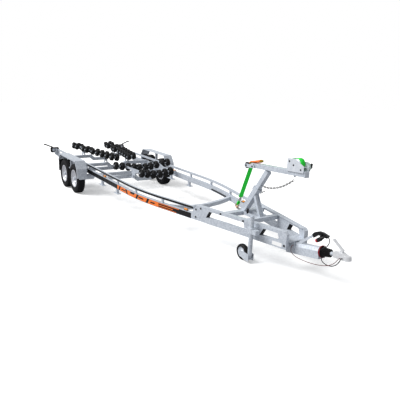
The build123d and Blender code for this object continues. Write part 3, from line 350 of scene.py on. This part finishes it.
for wheel_name, wheel_x, side in WHEELS:
    centre = Vector((wheel_x, side * 1.087, wheel_height(wheel_x, 0.325)))
    tyre = Shape()
    tyre.lathe(TREAD, centre, steps=176, vary=tread_cut)
    tyre.lathe([(0.228, 0.0858), (0.231, 0.0882), (0.234, 0.0858)], centre, steps=64)
    tyre.lathe([(0.228, -0.0858), (0.231, -0.0882), (0.234, -0.0858)], centre, steps=64)
    tyre.make(
        f"{wheel_name}_tread", f"{wheel_name}_wheel", [TYRE], [f"{wheel_name}_tyre"], slot_name="tyre_rubber"
    )
    fittings = Shape()
    hub = centre + Vector((0, side * 0.044, 0))
    fittings.lathe(HUB_CAP, hub, (0, side, 0), 24, 1)
    for nut in range(5):
        angle = math.radians(72 * nut + 18)
        place = centre + Vector((0.056 * math.cos(angle), side * 0.0255, 0.056 * math.sin(angle)))
        fittings.rod(place, place + Vector((0, side * 0.022, 0)), 0.0105, 6, 0, False)
    valve = centre + Vector((0.155 * math.cos(1.1), side * 0.038, 0.155 * math.sin(1.1)))
    fittings.rod(valve, valve + Vector((0, side * 0.032, 0)), 0.004, 8, 2)
    fittings.make(f"{wheel_name}_nuts", f"{wheel_name}_wheel", [ZINC, GALV, BLACK], slot_name="rim_silver")

# ---- roller cradles -------------------------------------------------------------------------------------
# cradles: (name, (x, z) of the pivot, (x, |y|, z) of the rearmost and of the foremost rod)
CRADLES = [
    ("rear", (-1.200, 0.645), (-1.650, 0.445, 0.765), (-0.870, 0.375, 0.760)),
    ("middle", (0.0, 0.645), (-0.500, 0.345, 0.770), (0.390, 0.210, 0.765)),
    ("front", (1.750, 0.605), (1.450, 0.400, 0.745), (2.100, 0.265, 0.705)),
]
PAIR = [-0.064, 0.064]
# rods: (share of the way from the rearmost to the foremost, its rollers' offsets outwards)
ROLLER_ROWS = {
    "rear": [(0, PAIR), (0.245, PAIR), (0.755, PAIR), (1, PAIR)],
    "middle": [(0, PAIR), (0.25, PAIR), (0.5, PAIR), (0.75, PAIR), (1, PAIR)],
    "front": [(0, [-0.330, -0.205, -0.070, 0.070, 0.210]), (1, [-0.195, -0.065, 0.065])],
}
ROLLER = [
    (0.0095, -0.033), (0.026, -0.0365), (0.034, -0.0365), (0.038, -0.022), (0.057, -0.022), (0.061, -0.034),
    (0.070, -0.0365), (0.080, -0.032), (0.0855, -0.020), (0.0855, -0.008), (0.078, -0.005), (0.078, 0.005),
    (0.0855, 0.008), (0.0855, 0.020), (0.080, 0.032), (0.070, 0.0365), (0.061, 0.034), (0.057, 0.022),
    (0.038, 0.022), (0.034, 0.0365), (0.026, 0.0365), (0.0095, 0.033),
]
ROLLER_STEPS, ROLLER_LOBES = 72, 12
ROD_TILT = math.radians(8)


def lobe(step, index):
    """The roller's edge is scalloped between its lobes."""
    if 7 <= index <= 14:
        return -0.007 * (1 - abs(math.cos(math.pi * step * ROLLER_LOBES / ROLLER_STEPS)))
    return 0


for cradle_name, (pivot_x, pivot_z), rear_rod, front_rod in CRADLES:
    pivot_share = (pivot_x - rear_rod[0]) / (front_rod[0] - rear_rod[0])
    middle_y = rear_rod[1] + (front_rod[1] - rear_rod[1]) * pivot_share
    for side, side_name in ((1, "left"), (-1, "right")):
        along = Vector((front_rod[0] - rear_rod[0], side * (front_rod[1] - rear_rod[1]), 0)).normalized()
        across = Vector((0, 0, 1)).cross(along)
        arm_place = Matrix((along, across, (0, 0, 1))).transposed().to_4x4()
        arm_place.translation = Vector((pivot_x, side * middle_y, 0))
        rear_end, front_end = (rear_rod[0] - pivot_x) / along.x, (front_rod[0] - pivot_x) / along.x
        cradle = Shape()
        cradle.place = arm_place
        outline = [
            (rear_end - 0.028, rear_rod[2] + 0.020),
            (rear_end - 0.028, rear_rod[2] - 0.026),
            (-0.080, rear_rod[2] - 0.028),
            (-0.034, pivot_z - 0.020),
            (0.034, pivot_z - 0.020),
            (0.080, front_rod[2] - 0.028),
            (front_end + 0.028, front_rod[2] - 0.026),
            (front_end + 0.028, front_rod[2] + 0.020),
        ]
        for low in (-0.012, 0.007):
            cradle.prism(outline, low, low + 0.005)
        web = outline[1:7] + [(a, b + 0.006) for a, b in reversed(outline[1:7])]
        cradle.prism(web, -0.008, 0.008)
        cradle.place = Matrix()
        hub = Vector((pivot_x, side * middle_y, pivot_z))
        cradle.lathe([(0.0085, -0.022), (0.018, -0.022), (0.018, 0.022), (0.0085, 0.022)], hub, steps=24)
        axis = Vector((0, math.cos(ROD_TILT), side * math.sin(ROD_TILT)))
        first = Vector((rear_rod[0], side * rear_rod[1], rear_rod[2]))
        last = Vector((front_rod[0], side * front_rod[1], front_rod[2]))
        for share, outward in ROLLER_ROWS[cradle_name]:
            middle = first.lerp(last, share)
            offsets = sorted(side * offset for offset in outward)
            low, high = offsets[0] - 0.048, offsets[-1] + 0.048
            cradle.rod(middle + axis * low, middle + axis * high, 0.009, 12)
            for place in offsets:
                cradle.lathe(ROLLER, middle + axis * place, axis, ROLLER_STEPS, 1, lobe)
            for place in (low + 0.002, high - 0.008):
                cradle.rod(middle + axis * place, middle + axis * (place + 0.006), 0.0165, 16)
            for place in (-0.022, 0.014):
                cradle.rod(middle + axis * place, middle + axis * (place + 0.008), 0.018, 16)
        name = f"{cradle_name}_{side_name}_cradle"
        cradle.make(f"{name}_rollers", name, [GALV, RUBBER], [name], slot_name="black_rubber")

# ---- winch: drum, crank, webbing, strap foot, sleeve, bow roller, chain ----------------------------------
COIL_AT = Vector((6.045, 0, 1.564))
coil = Shape()
for low, high in ((-0.042, -0.0385), (0.0385, 0.042)):
    coil.lathe([(0.0085, low), (0.066, low), (0.066, high), (0.0085, high)], COIL_AT, steps=40, slot=1)
coil.lathe([(0.0085, -0.038), (0.0712, -0.038), (0.0712, 0.038), (0.0085, 0.038)], COIL_AT, steps=56)
coil.make("winch_coil", "winch_drum", [GREEN, PALE], ["winch_drum"], slot_name="green_webbing")

CRANK_AT = Vector((6.125, 0, 1.528))
KNOB_AT = Vector((6.145, 0.122, 1.522))
crank = Shape()
BRAKE_DISC = [(0.0, 0.051), (0.058, 0.051), (0.068, 0.053), (0.070, 0.057)]
BRAKE_DISC += [(0.070, 0.064), (0.066, 0.069), (0.0, 0.070)]
crank.lathe(BRAKE_DISC, CRANK_AT, steps=48, slot=2)
crank.lathe([(0.0, 0.070), (0.024, 0.070), (0.022, 0.0785), (0.0, 0.0795)], CRANK_AT, steps=24, slot=1)
lever = [(6.117, 1.544), (6.113, 1.516), (6.149, 1.508), (6.157, 1.530)]
crank.prism(lever, 0.0715, 0.0795, slot=1)
crank.rod((KNOB_AT.x, 0.078, KNOB_AT.z), (KNOB_AT.x, 0.118, KNOB_AT.z), 0.008, 12, 1)
KNOB = [(0.0, -0.012), (0.011, -0.012), (0.015, -0.004), (0.0135, 0.020)]
KNOB += [(0.016, 0.040), (0.014, 0.052), (0.0, 0.054)]
crank.lathe(KNOB, KNOB_AT, (0, 0, 1), 20, slot=0)
crank.make("crank_handle", "winch_crank", [BLACK, ZINC, BRAKE], ["winch_crank"], slot_name="black_plastic")

webbing = Shape()
upper = [(6.039, 1.6412), (5.65, 1.5530), (5.35, 1.4850), (5.155, 1.4406), (5.133, 1.4355)]
upper += [(5.118, 1.4275), (5.112, 1.419)]
upper += [(5.1065, 1.388), (5.060, 1.2710), (5.010, 1.1470), (4.950, 0.9985), (4.891, 0.850)]
lower = []
for index, (x, z) in enumerate(upper):
    before, after = upper[max(index - 1, 0)], upper[min(index + 1, len(upper) - 1)]
    run = Vector((after[0] - before[0], 0, after[1] - before[1])).normalized()
    lower.append((x - run.z * 0.0022, z + run.x * 0.0022))
for (x0, z0), (x1, z1), (a1, b1), (a0, b0) in zip(upper, upper[1:], lower[1:], lower):
    corners = [(x, y, z) for y in (-0.0415, 0.0415) for x, z in ((x0, z0), (x1, z1), (a1, b1), (a0, b0))]
    webbing.add(corners, [(0, 1, 5, 4), (3, 7, 6, 2), (0, 4, 7, 3), (1, 2, 6, 5), (0, 3, 2, 1), (4, 5, 6, 7)])
webbing.make("winch_strap", "chassis", [GREEN], ["winch_webbing"], slot_name="green_webbing")

# the strap's lower end: a coppery ring round the hook's eye, a green loop above it and a bright shackle
foot = Shape()
EYE, SHACKLE, SHACKLE_RADIUS = Vector((4.815, 0, 0.700)), Vector((4.930, 0, 0.826)), 0.025
EYE_RING = [(0.020, -0.009), (0.035, -0.0095), (0.038, 0.0), (0.035, 0.0095), (0.020, 0.009)]
foot.lathe(EYE_RING, EYE, steps=28, slot=1)
foot_loop = [(0.023, -0.016, 0.022), (0.035, -0.019, 0.060), (0.042, 0.0, 0.092)]
foot_loop += [(0.035, 0.019, 0.060), (0.023, 0.016, 0.022)]
foot.tube([EYE + Vector(point) for point in foot_loop], 0.011)
ring_angles = [2 * math.pi * k / 20 for k in range(21)]
shackle_ring = [SHACKLE + SHACKLE_RADIUS * Vector((math.cos(a), 0, math.sin(a))) for a in ring_angles]
foot.tube(shackle_ring, 0.006, slot=2)
foot.make("strap_foot", "chassis", [GREEN, COPPER, ZINC], slot_name="green_webbing")

sleeve = Shape()
rings = []
SLEEVE = [
    (5.110, 1.405, 0.0120, 0.045),
    (5.103, 1.427, 0.0125, 0.048),
    (5.116, 1.438, 0.0130, 0.049),
    (5.145, 1.4420, 0.0135, 0.049),
    (5.190, 1.4500, 0.0165, 0.0495),
    (5.235, 1.4580, 0.0190, 0.049),
    (5.275, 1.4665, 0.0225, 0.0495),
    (5.304, 1.4735, 0.0235, 0.047),
    (5.317, 1.4770, 0.0140, 0.043),
]
for index, (x, z, high, wide) in enumerate(SLEEVE):
    before, after = SLEEVE[max(index - 1, 0)], SLEEVE[min(index + 1, len(SLEEVE) - 1)]
    run = Vector((after[0] - before[0], 0, after[1] - before[1])).normalized()
    out = Vector((-run.z, 0, run.x))
    for k in range(20):
        angle = 2 * math.pi * k / 20
        rings.append(Vector((x, wide * math.cos(angle), z)) + out * high * math.sin(angle))
faces = [
    (row * 20 + k, row * 20 + (k + 1) % 20, (row + 1) * 20 + (k + 1) % 20, (row + 1) * 20 + k)
    for row in range(len(SLEEVE) - 1)
    for k in range(20)
]
sleeve.add(rings, faces, 0, True)
last = 20 * (len(SLEEVE) - 1)
sleeve.add(rings, [tuple(range(19, -1, -1)), tuple(range(last, last + 20))])
sleeve.make("orange_sleeve", "chassis", [ORANGE], ["webbing_sleeve"], slot_name="orange_plastic")

roller = Shape()
BOW = [(0.0085, -0.050), (0.040, -0.050), (0.047, -0.046), (0.048, -0.036), (0.041, -0.010), (0.040, 0.0)]
BOW += [(radius, -along) for radius, along in reversed(BOW[:-1])]
BOW_AT = (5.045, 0, 1.376)
roller.lathe(BOW, BOW_AT, steps=36)
BOW_WASHER = [(0.0085, -0.0505), (0.020, -0.0505), (0.020, -0.050), (0.0085, -0.050)]
roller.lathe(BOW_WASHER, BOW_AT, steps=20, slot=1)
roller.make("bow_roller_body", "bow_roller", [RUBBER, ZINC], ["bow_roller"], slot_name="black_rubber")

# links of the chain: places come from the same hanging curve as the solid's
CHAIN_REAR, CHAIN_FRONT, CHAIN_SAG = (5.400, 1.124), (5.990, 1.345), 0.060
LINK_PITCH, LINK_BEND = 0.032, 0.011


def chain_point(share):
    """Point of the hanging chain at a share of its run."""
    run, climb = CHAIN_FRONT[0] - CHAIN_REAR[0], CHAIN_FRONT[1] - CHAIN_REAR[1]
    return Vector(
        (CHAIN_REAR[0] + share * run, 0, CHAIN_REAR[1] + share * climb - 4 * CHAIN_SAG * share * (1 - share))
    )


chain = Shape()
share, link = 0.0, 0
while share < 1:
    along = (chain_point(share + 0.01) - chain_point(share - 0.01)).normalized()
    across = Vector((0, 1, 0)) if link % 2 == 0 else along.cross(Vector((0, 1, 0)))
    loop = []
    for k in range(20):
        angle = 2 * math.pi * k / 20
        straight = 0.010 * (1 if math.cos(angle) > 0 else -1)
        loop.append(
            chain_point(share)
            + along * (straight + LINK_BEND * math.cos(angle))
            + across * LINK_BEND * math.sin(angle)
        )
    loop.append(loop[0])
    chain.tube(loop, 0.0048, 8)
    climb_here = CHAIN_FRONT[1] - CHAIN_REAR[1] - 4 * CHAIN_SAG * (1 - 2 * share)
    share += LINK_PITCH / math.hypot(CHAIN_FRONT[0] - CHAIN_REAR[0], climb_here)
    link += 1
chain.make("chain_links", "chassis", [STRAP], ["safety_chain"], slot_name="strap_steel")

# ---- jockey wheel ---------------------------------------------------------------------------------------
JOCKEY = Vector((5.495, -0.382, wheel_height(5.495, 0.115)))
jockey = Shape()
TYRE_SMALL = [
    (0.074, -0.030), (0.080, -0.033), (0.092, -0.035), (0.103, -0.032),
    (0.110, -0.024), (0.1145, -0.012), (0.115, 0.0),
]
TYRE_SMALL += [(radius, -along) for radius, along in reversed(TYRE_SMALL[:-1])]
jockey.lathe(TYRE_SMALL, JOCKEY, steps=64)
HUB = [(0.0085, -0.034), (0.022, -0.034), (0.024, -0.018), (0.060, -0.014), (0.068, -0.026), (0.075, -0.029)]
HUB += [(0.075, 0.029), (0.068, 0.026), (0.060, 0.014), (0.024, 0.018), (0.022, 0.034), (0.0085, 0.034)]
jockey.lathe(HUB, JOCKEY, steps=48, slot=1)
jockey.make("jockey_tyre", "jockey_wheel", [RUBBER, PALE], ["jockey_wheel"], slot_name="black_rubber")
handle = Shape()
JOCKEY_KNOB = [(0.0, -0.045), (0.013, -0.045), (0.015, -0.030), (0.015, 0.024), (0.0, 0.026)]
handle.lathe(JOCKEY_KNOB, (5.542, -0.382, 0.858), (0, 0, 1), 16)
handle.make("jockey_knob", "chassis", [BLACK], slot_name="black_plastic")

# ---- plug and cables ------------------------------------------------------------------------------------
def cord_curve(name, points, diameter, material, place):
    """A cord: one smooth spline with its route's points as control points."""
    data = bpy.data.curves.new(name, "CURVE")
    data.dimensions = "3D"
    data.bevel_depth = diameter / 2
    data.bevel_resolution = 3
    data.use_fill_caps = True
    spline = data.splines.new("NURBS")
    spline.points.add(len(points) - 1)
    for target, point in zip(spline.points, points):
        target.co = (*(place @ Vector(point)), 1)
    spline.order_u = 3
    spline.use_endpoint_u = True
    spline.resolution_u = 6
    data.materials.append(material)
    made = bpy.data.objects.new(name, data)
    bpy.context.scene.collection.objects.link(made)
    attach(made, "chassis")
    return made


PLUG_NOSE, PLUG_TAIL = Vector((6.568, -0.080, 0.599)), Vector((6.700, -0.080, 0.664))
plug = Shape()
PLUG = [(0.0, 0.028), (0.0265, 0.028), (0.027, 0.034), (0.025, 0.037), (0.025, 0.043)]
PLUG += [(0.027, 0.046), (0.027, 0.080)]
PLUG += [(0.022, 0.094), (0.0195, 0.104), (0.018, 0.106), (0.0185, 0.112), (0.016, 0.114), (0.0165, 0.121)]
PLUG += [(0.014, 0.123), (0.0145, 0.131), (0.012, 0.133), (0.0115, 0.147), (0.0, 0.147)]
plug.lathe(PLUG, PLUG_NOSE, PLUG_TAIL - PLUG_NOSE, 36)
CAP = [(0.0, 0.0), (0.020, 0.0), (0.0235, 0.004), (0.024, 0.022), (0.0225, 0.028), (0.0, 0.028)]
plug.lathe(CAP, PLUG_NOSE, PLUG_TAIL - PLUG_NOSE, 36, 1)
plug_piece = plug.make(
    "plug_body", "chassis", [BLACK, RED_CAP], ["trailer_plug"], placing=CLIMBING, slot_name="black_plastic"
)

# the plug's cable: from the drawbar box's front face, round the bellows, and up to the plug
COIL_AXIS_Z, COIL_RADIUS, COIL_X, COIL_PITCH = 0.454, 0.0700, 6.5795, 0.0112
COIL_FROM, COIL_TO, COIL_STEPS = math.radians(-42), math.radians(-880), 34
plug_route = [(6.575, COIL_RADIUS * math.cos(COIL_FROM), COIL_AXIS_Z + COIL_RADIUS * math.sin(COIL_FROM))]
for step in range(COIL_STEPS + 1):
    angle = COIL_FROM + (COIL_TO - COIL_FROM) * step / COIL_STEPS
    turned = (COIL_FROM - angle) / (2 * math.pi)
    height = COIL_AXIS_Z + COIL_RADIUS * math.sin(angle)
    plug_route.append((COIL_X + COIL_PITCH * turned, COIL_RADIUS * math.cos(angle), height))
plug_route += [
    (6.6085, -0.0710, 0.483),
    (6.634, -0.071, 0.503),
    (6.683, -0.074, 0.521),
    (6.733, -0.077, 0.551),
    (6.770, -0.079, 0.592),
    (6.782, -0.080, 0.636),
    (6.764, -0.080, 0.670),
    (6.729, -0.080, 0.67828),
    (6.700, -0.080, 0.664),
]
plug_cord = cord_curve("plug_cord", plug_route, BLACK_CABLE, BLACK, PARKED @ CLIMBING)
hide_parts("plug_cable", "cable_coil")

# the breakaway cable sags under the drawbar, from the nose plate to the coupling head
breakaway_route = [
    (6.150, -0.072, 0.505),
    (6.150, -0.090, 0.505),
    (6.147, -0.104, 0.483),
    (6.144, -0.106, 0.448),
    (6.154, -0.103, 0.410),
    (6.190, -0.098, 0.385),
    (6.246, -0.093, 0.371),
    (6.324, -0.089, 0.366),
    (6.404, -0.087, 0.368),
    (6.486, -0.085, 0.376),
    (6.570, -0.083, 0.388),
    (6.655, -0.081, 0.407),
    (6.730, -0.079, 0.431),
    (6.790, -0.076, 0.462),
    (6.840, -0.070, 0.503),
    (6.866, -0.062, 0.545),
    (6.880, -0.050, 0.574),
    (6.880, -0.032, 0.574),
]
breakaway_cord = cord_curve("breakaway_cord", breakaway_route, RED_CABLE, DARK_RED, PARKED)
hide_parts("breakaway_cable")

# a cable hangs in a loop from the coil's underside to the coupling head
loop_route = [
    (6.603, -0.035, 0.3934),
    (6.606, -0.043, 0.3795),
    (6.618, -0.051, 0.3565),
    (6.648, -0.053, 0.3315),
    (6.693, -0.054, 0.315),
    (6.745, -0.054, 0.310),
    (6.797, -0.054, 0.318),
    (6.843, -0.053, 0.340),
    (6.877, -0.053, 0.368),
    (6.905, -0.053, 0.404),
    (6.920, -0.049, 0.432),
    (6.920, -0.032, 0.432),
]
loop_cord = cord_curve("loop_cord", loop_route, BLACK_CABLE, BLACK, PARKED @ CLIMBING)
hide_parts("loop_cable")

# two red ties hold the coil together
ties = Shape()
TIE = [(0.0757, -0.0028), (0.0773, 0.0), (0.0757, 0.0028), (0.0745, 0.0)]
for x in (6.5895, 6.6015):
    ties.lathe(TIE, (x, 0, COIL_AXIS_Z), (1, 0, 0), 64)
ties.make("coil_ties", "chassis", [RED_CAP], placing=CLIMBING, slot_name="black_plastic")

# ribs of the conduit inside the left side frame's bend
conduit = Shape()
CONDUIT_TURN = BEND_RADIUS - 0.060 - 0.012
RIB = [(0.0105, -0.0032), (0.0128, -0.0016), (0.0128, 0.0016), (0.0105, 0.0032)]
for rib in range(58):
    angle = math.radians(5.35) + rib * (BEND_ANGLE - math.radians(5.4)) / 57
    centre_y = FRAME_HALF - BEND_RADIUS + CONDUIT_TURN * math.cos(angle)
    centre = (BEND_START + CONDUIT_TURN * math.sin(angle), centre_y, 0.482)
    conduit.lathe(RIB, centre, (math.cos(angle), -math.sin(angle), 0), 16)
conduit.make("conduit_ribs", "chassis", [BLACK], slot_name="black_plastic")

# ---- film on the side frames ----------------------------------------------------------------------------
def film(name, side, start, end, low, high, material, lift=0.0012):
    """A thin film on a side frame's outer face."""
    made = Shape()
    steps = max(2, int((end - start) / 0.12))
    points = []
    for step in range(steps + 1):
        x = start + (end - start) * step / steps
        y_out = side * (side_y(x) + lift)
        y_in = side * (side_y(x) + 0.0002)
        points += [(x, y_out, low), (x, y_out, high), (x, y_in, high), (x, y_in, low)]
    faces = []
    for step in range(steps):
        a, b = 4 * step, 4 * step + 4
        faces += [(a, b, b + 1, a + 1), (a + 1, b + 1, b + 2, a + 2)]
        faces += [(a + 3, a, b, b + 3)[::-1], (a + 2, b + 2, b + 3, a + 3)]
    faces += [(0, 1, 2, 3), (4 * steps + 3, 4 * steps + 2, 4 * steps + 1, 4 * steps)]
    made.add(points, faces)
    return made.make(name, "chassis", [material], slot_name="frame_black_stripe")


for side, side_name in ((1, "left"), (-1, "right")):
    film(f"{side_name}_rail_film", side, 0.40, 4.438, 0.616, 0.649, BLACK)
    film(f"{side_name}_beam_film", side, 0.40, 4.398, 0.452, 0.538, BLACK)
    film(f"{side_name}_beam_band", side, 2.12, 3.62, 0.454, 0.536, ORANGE, 0.0020)
    film(f"{side_name}_upper_line", side, 3.60, 4.12, 0.522, 0.534, ORANGE, 0.0020)
    film(f"{side_name}_middle_line", side, 3.60, 3.98, 0.486, 0.498, ORANGE, 0.0020)
    film(f"{side_name}_lower_line", side, 3.60, 4.06, 0.456, 0.466, ORANGE, 0.0020)
    # dark slanted bars over the orange band: (start, end of the foot, lean, bottom, top)
    bars = [
        (2.18, 2.24, 0.05, 0.454, 0.536),
        (2.31, 2.50, 0.04, 0.484, 0.506),
        (2.56, 2.62, -0.05, 0.454, 0.536),
        (2.70, 2.86, 0.04, 0.502, 0.536),
        (2.92, 2.98, 0.05, 0.454, 0.536),
        (3.04, 3.20, -0.03, 0.482, 0.508),
        (3.26, 3.32, 0.05, 0.454, 0.536),
        (3.38, 3.50, 0.04, 0.480, 0.504),
    ]
    marks = Shape()
    for start, end, lean, low, high in bars:
        corners = [(start, low), (end, low), (end + lean, high), (start + lean, high)]
        outer = [(x, side * (side_y(x) + 0.0028), z) for x, z in corners]
        inner = [(x, side * (side_y(x) + 0.0004), z) for x, z in corners]
        marks.add(
            outer + inner,
            BOX_FACES,
        )
    marks.make(f"{side_name}_beam_marks", "chassis", [BLACK], slot_name="frame_black_stripe")

# ---- ladder beams' trim: bolts, blank label ---------------------------------------------------------------
trim = Shape()
labels = Shape()
for side in (1, -1):
    outward = Vector((math.sin(BEND_ANGLE), side * math.cos(BEND_ANGLE), 0))

    def on_face(x, z, side=side):
        """A place on the ladder beam's outer face."""
        return Vector((x, side * side_y(x), z))

    for x, z in ((4.50, 0.62), (4.50, 0.50), (4.60, 0.655), (5.00, 0.665), (5.42, 0.665), (6.11, 0.50)):
        trim.bolt(on_face(x, z), outward, 0.012, 0.010)
    start, end = on_face(5.925, 0.472), on_face(6.075, 0.472)
    lift = outward * 0.0012
    labels.add(
        [start + lift, end + lift, end + lift + Vector((0, 0, 0.052)), start + lift + Vector((0, 0, 0.052))]
        + [start, end, end + Vector((0, 0, 0.052)), start + Vector((0, 0, 0.052))],
        BOX_FACES,
    )
# painted shade: black slanted sheets at the two windows' rear ends stand in for their shaded inner walls
window_wall_shade = Shape()
for side in (1, -1):
    forward = Vector((math.cos(BEND_ANGLE), -side * math.sin(BEND_ANGLE), 0))
    inward = Vector((-math.sin(BEND_ANGLE), -side * math.cos(BEND_ANGLE), 0))
    corner = Vector((4.4, side * side_y(4.4), 0.450))
    for foot, head in ((0.325, 0.385), (1.345, 1.405)):
        outline = [(foot - 0.001, 0.094), (foot + 0.018, 0.094), (head + 0.018, 0.196), (head - 0.001, 0.196)]
        points = [
            corner + forward * a + Vector((0, 0, b)) + inward * depth
            for depth in (-0.001, 0.061)
            for a, b in outline
        ]
        window_wall_shade.add(points, BOX_FACES)
window_wall_shade.make("window_wall_shade_sheets", "chassis", [BLACK], slot_name="black_plastic")
labels.make("blank_labels", "chassis", [plain("label_white", (0.9, 0.9, 0.9), 0.3)], slot_name="white_paint")

# ---- rear lamps and marker arms -------------------------------------------------------------------------
# corners of a lamp: (y and z of the arc's centre, degrees where the arc starts)
LAMP_CORNERS = [(0.078, 0.038, 0), (-0.078, 0.038, 90), (-0.078, -0.038, 180), (0.078, -0.038, 270)]
lamps = Shape()
for side in (1, -1):
    y, z = side * 0.93, 0.632
    plate = [
        (side * 0.800, 0.455), (side * 0.800, 0.540), (side * 0.850, 0.592),
        (side * 0.940, 0.592), (side * 0.940, 0.520), (side * 0.850, 0.455),
    ]
    lamps.prism(plate, -1.962, -1.950, "X", 3)
    body = []
    for corner_y, corner_z, first in LAMP_CORNERS:
        for step in range(7):
            angle = math.radians(first + 15 * step)
            body.append((y + corner_y + 0.030 * math.cos(angle), z + corner_z + 0.030 * math.sin(angle)))
    lamps.prism(body, -1.998, -1.952, "X", 0)
    inner = [(y + (a - y) * 0.90, z + (b - z) * 0.86) for a, b in body]
    lamps.prism(inner, -2.0095, -1.997, "X", 1)
    lamps.prism(rect(y - side * 0.095, z - 0.045, y - side * 0.035, z + 0.045), -2.0099, -2.0090, "X", 2)
    inset = [(y + (a - y) * 0.62, z + (b - z) * 0.55) for a, b in body]
    lamps.prism(inset, -1.953, -1.9505, "X", 3)
    for share in (0.35, 0.65):
        lamps.rod((-1.9505, y, z - 0.05 + share * 0.1), (-1.944, y, z - 0.05 + share * 0.1), 0.012, 12, 0)
LAMP_FINISHES = [BLACK, RED, AMBER, GALV]
lamps.make("rear_lamp_bodies", "chassis", LAMP_FINISHES, ["rear_lamps"], bevel=0.002, slot_name="black_plastic")

arms = Shape()
MARKER_HEAD = [(0.0, -0.016), (0.017, -0.016), (0.0195, -0.009), (0.0195, 0.009), (0.0, 0.014)]
for side in (1, -1):
    route = [
        (side * 0.993, 0.706), (side * 1.008, 0.716), (side * 1.058, 0.735), (side * 1.108, 0.755),
        (side * 1.148, 0.775), (side * 1.168, 0.783),
    ]
    arms.tube([(-1.974, y, z) for y, z in route], 0.0160, 14)
    head = (-1.974, side * 1.184, 0.7795)
    arms.lathe(MARKER_HEAD, head, (1, 0, 0), 18)
    arms.box((-1.9915, side * 1.184, 0.7795), (0.003, 0.024, 0.024), slot=1)
    arms.box((-1.974, side * 0.996, 0.7075), (0.030, 0.036, 0.011))
arms.make("marker_arm_bodies", "chassis", [BLACK, RED], ["marker_arms"], slot_name="black_rubber")

# ---- side markers ---------------------------------------------------------------------------------------
markers = Shape()
for side in (1, -1):
    for x in (1.40, 4.25):
        y = side * (side_y(x) - 0.030)
        markers.box((x, y, 0.549), (0.096, 0.036, 0.008), slot=0)
        markers.box((x, y + side * 0.002, 0.5655), (0.084, 0.030, 0.025), slot=1)
markers.make("marker_lenses", "chassis", [BLACK, AMBER], ["side_markers"], bevel=0.004, slot_name="amber_lens")

# ---- bolts on the cross members, axle pads, winch and drawbar ---------------------------------------------
for x, z in ((-1.2, 0.56), (0.0, 0.56), (1.5, 0.56)):
    for side in (1, -1):
        for shift in (-0.022, 0.022):
            trim.bolt((x + shift, side * 0.8582, 0.495), (0, side, 0), 0.009, 0.008)
for x in (0.507, -0.207):
    for side in (1, -1):
        for shift in (-0.045, 0.045):
            trim.bolt((x + shift, side * 0.8582, 0.466), (0, side, 0), 0.010, 0.009)
for x, z in ((5.997, 1.540), (6.130, 1.500), (5.920, 1.580)):
    for side in (1, -1):
        trim.bolt((x, side * 0.050, z), (0, side, 0), 0.009, 0.008)
for side in (1, -1):
    trim.bolt((5.045, side * 0.0602, 1.376), (0, side, 0), 0.012, 0.010)
    trim.bolt((5.185, side * 0.0602, 1.383), (0, side, 0), 0.010, 0.009)
# the T-handle's rod beside the winch post
trim.rod((5.411, -0.060, 1.032), (5.502, -0.060, 1.089), 0.006, 10)
trim.rod((5.300, -0.020, 1.075), (5.457, -0.060, 1.061), 0.005, 10)
trim.make("bolt_heads", "chassis", [BOLT], slot_name="strap_steel")

# ---- floor, backdrop and light --------------------------------------------------------------------------
floor_mesh = bpy.data.meshes.new("floor")
FLOOR_HALF = 60
floor_corners = [(FLOOR_HALF * x, FLOOR_HALF * y, 0) for x, y in ((-1, -1), (1, -1), (1, 1), (-1, 1))]
floor_mesh.from_pydata(floor_corners, [], [(0, 1, 2, 3)])
floor = bpy.data.objects.new("floor", floor_mesh)
bpy.context.scene.collection.objects.link(floor)
floor_pale = plain("floor_pale", (0.95, 0.95, 0.95), 0.95, 0, 0, 0.0)
floor_tree = floor_pale.node_tree
bounce = floor_tree.nodes.new("ShaderNodeBsdfDiffuse")
bounce.inputs["Color"].default_value = (0.42, 0.42, 0.43, 1)
ray_kind = floor_tree.nodes.new("ShaderNodeLightPath")
choice = floor_tree.nodes.new("ShaderNodeMixShader")
floor_tree.links.new(ray_kind.outputs["Is Camera Ray"], choice.inputs[0])
floor_tree.links.new(bounce.outputs[0], choice.inputs[1])
floor_tree.links.new(floor_tree.nodes["Principled BSDF"].outputs[0], choice.inputs[2])
floor_tree.links.new(choice.outputs[0], floor_tree.nodes["Material Output"].inputs["Surface"])
# some of the floor's white is its own light, for a soft shadow
own_light = floor_tree.nodes["Principled BSDF"]
own_light.inputs["Emission Color"].default_value = (1, 1, 1, 1)
own_light.inputs["Emission Strength"].default_value = 0.25
floor_mesh.materials.append(floor_pale)

# the sky is white to the camera and a little dimmer as a light
world = bpy.data.worlds.new("world")
world.use_nodes = True
bpy.context.scene.world = world
sky_tree = world.node_tree
sky_tree.nodes["Background"].inputs["Color"].default_value = (0.98, 0.99, 1.0, 1)
sky_tree.nodes["Background"].inputs["Strength"].default_value = 0.55
white_sky = sky_tree.nodes.new("ShaderNodeBackground")
white_sky.inputs["Color"].default_value = (1, 1, 1, 1)
white_sky.inputs["Strength"].default_value = 1.0
sky_ray = sky_tree.nodes.new("ShaderNodeLightPath")
sky_choice = sky_tree.nodes.new("ShaderNodeMixShader")
sky_tree.links.new(sky_ray.outputs["Is Camera Ray"], sky_choice.inputs[0])
sky_tree.links.new(sky_tree.nodes["Background"].outputs[0], sky_choice.inputs[1])
sky_tree.links.new(white_sky.outputs[0], sky_choice.inputs[2])
sky_tree.links.new(sky_choice.outputs[0], sky_tree.nodes["World Output"].inputs["Surface"])

key = bpy.data.objects.new("key", bpy.data.lights.new("key", "SUN"))
key.data.energy = 3.1
key.data.angle = math.radians(35)
key.rotation_euler = Vector((0.35, 0.62, -0.72)).to_track_quat("-Z", "Y").to_euler()
bpy.context.scene.collection.objects.link(key)
bpy.context.scene.view_settings.view_transform = "Standard"
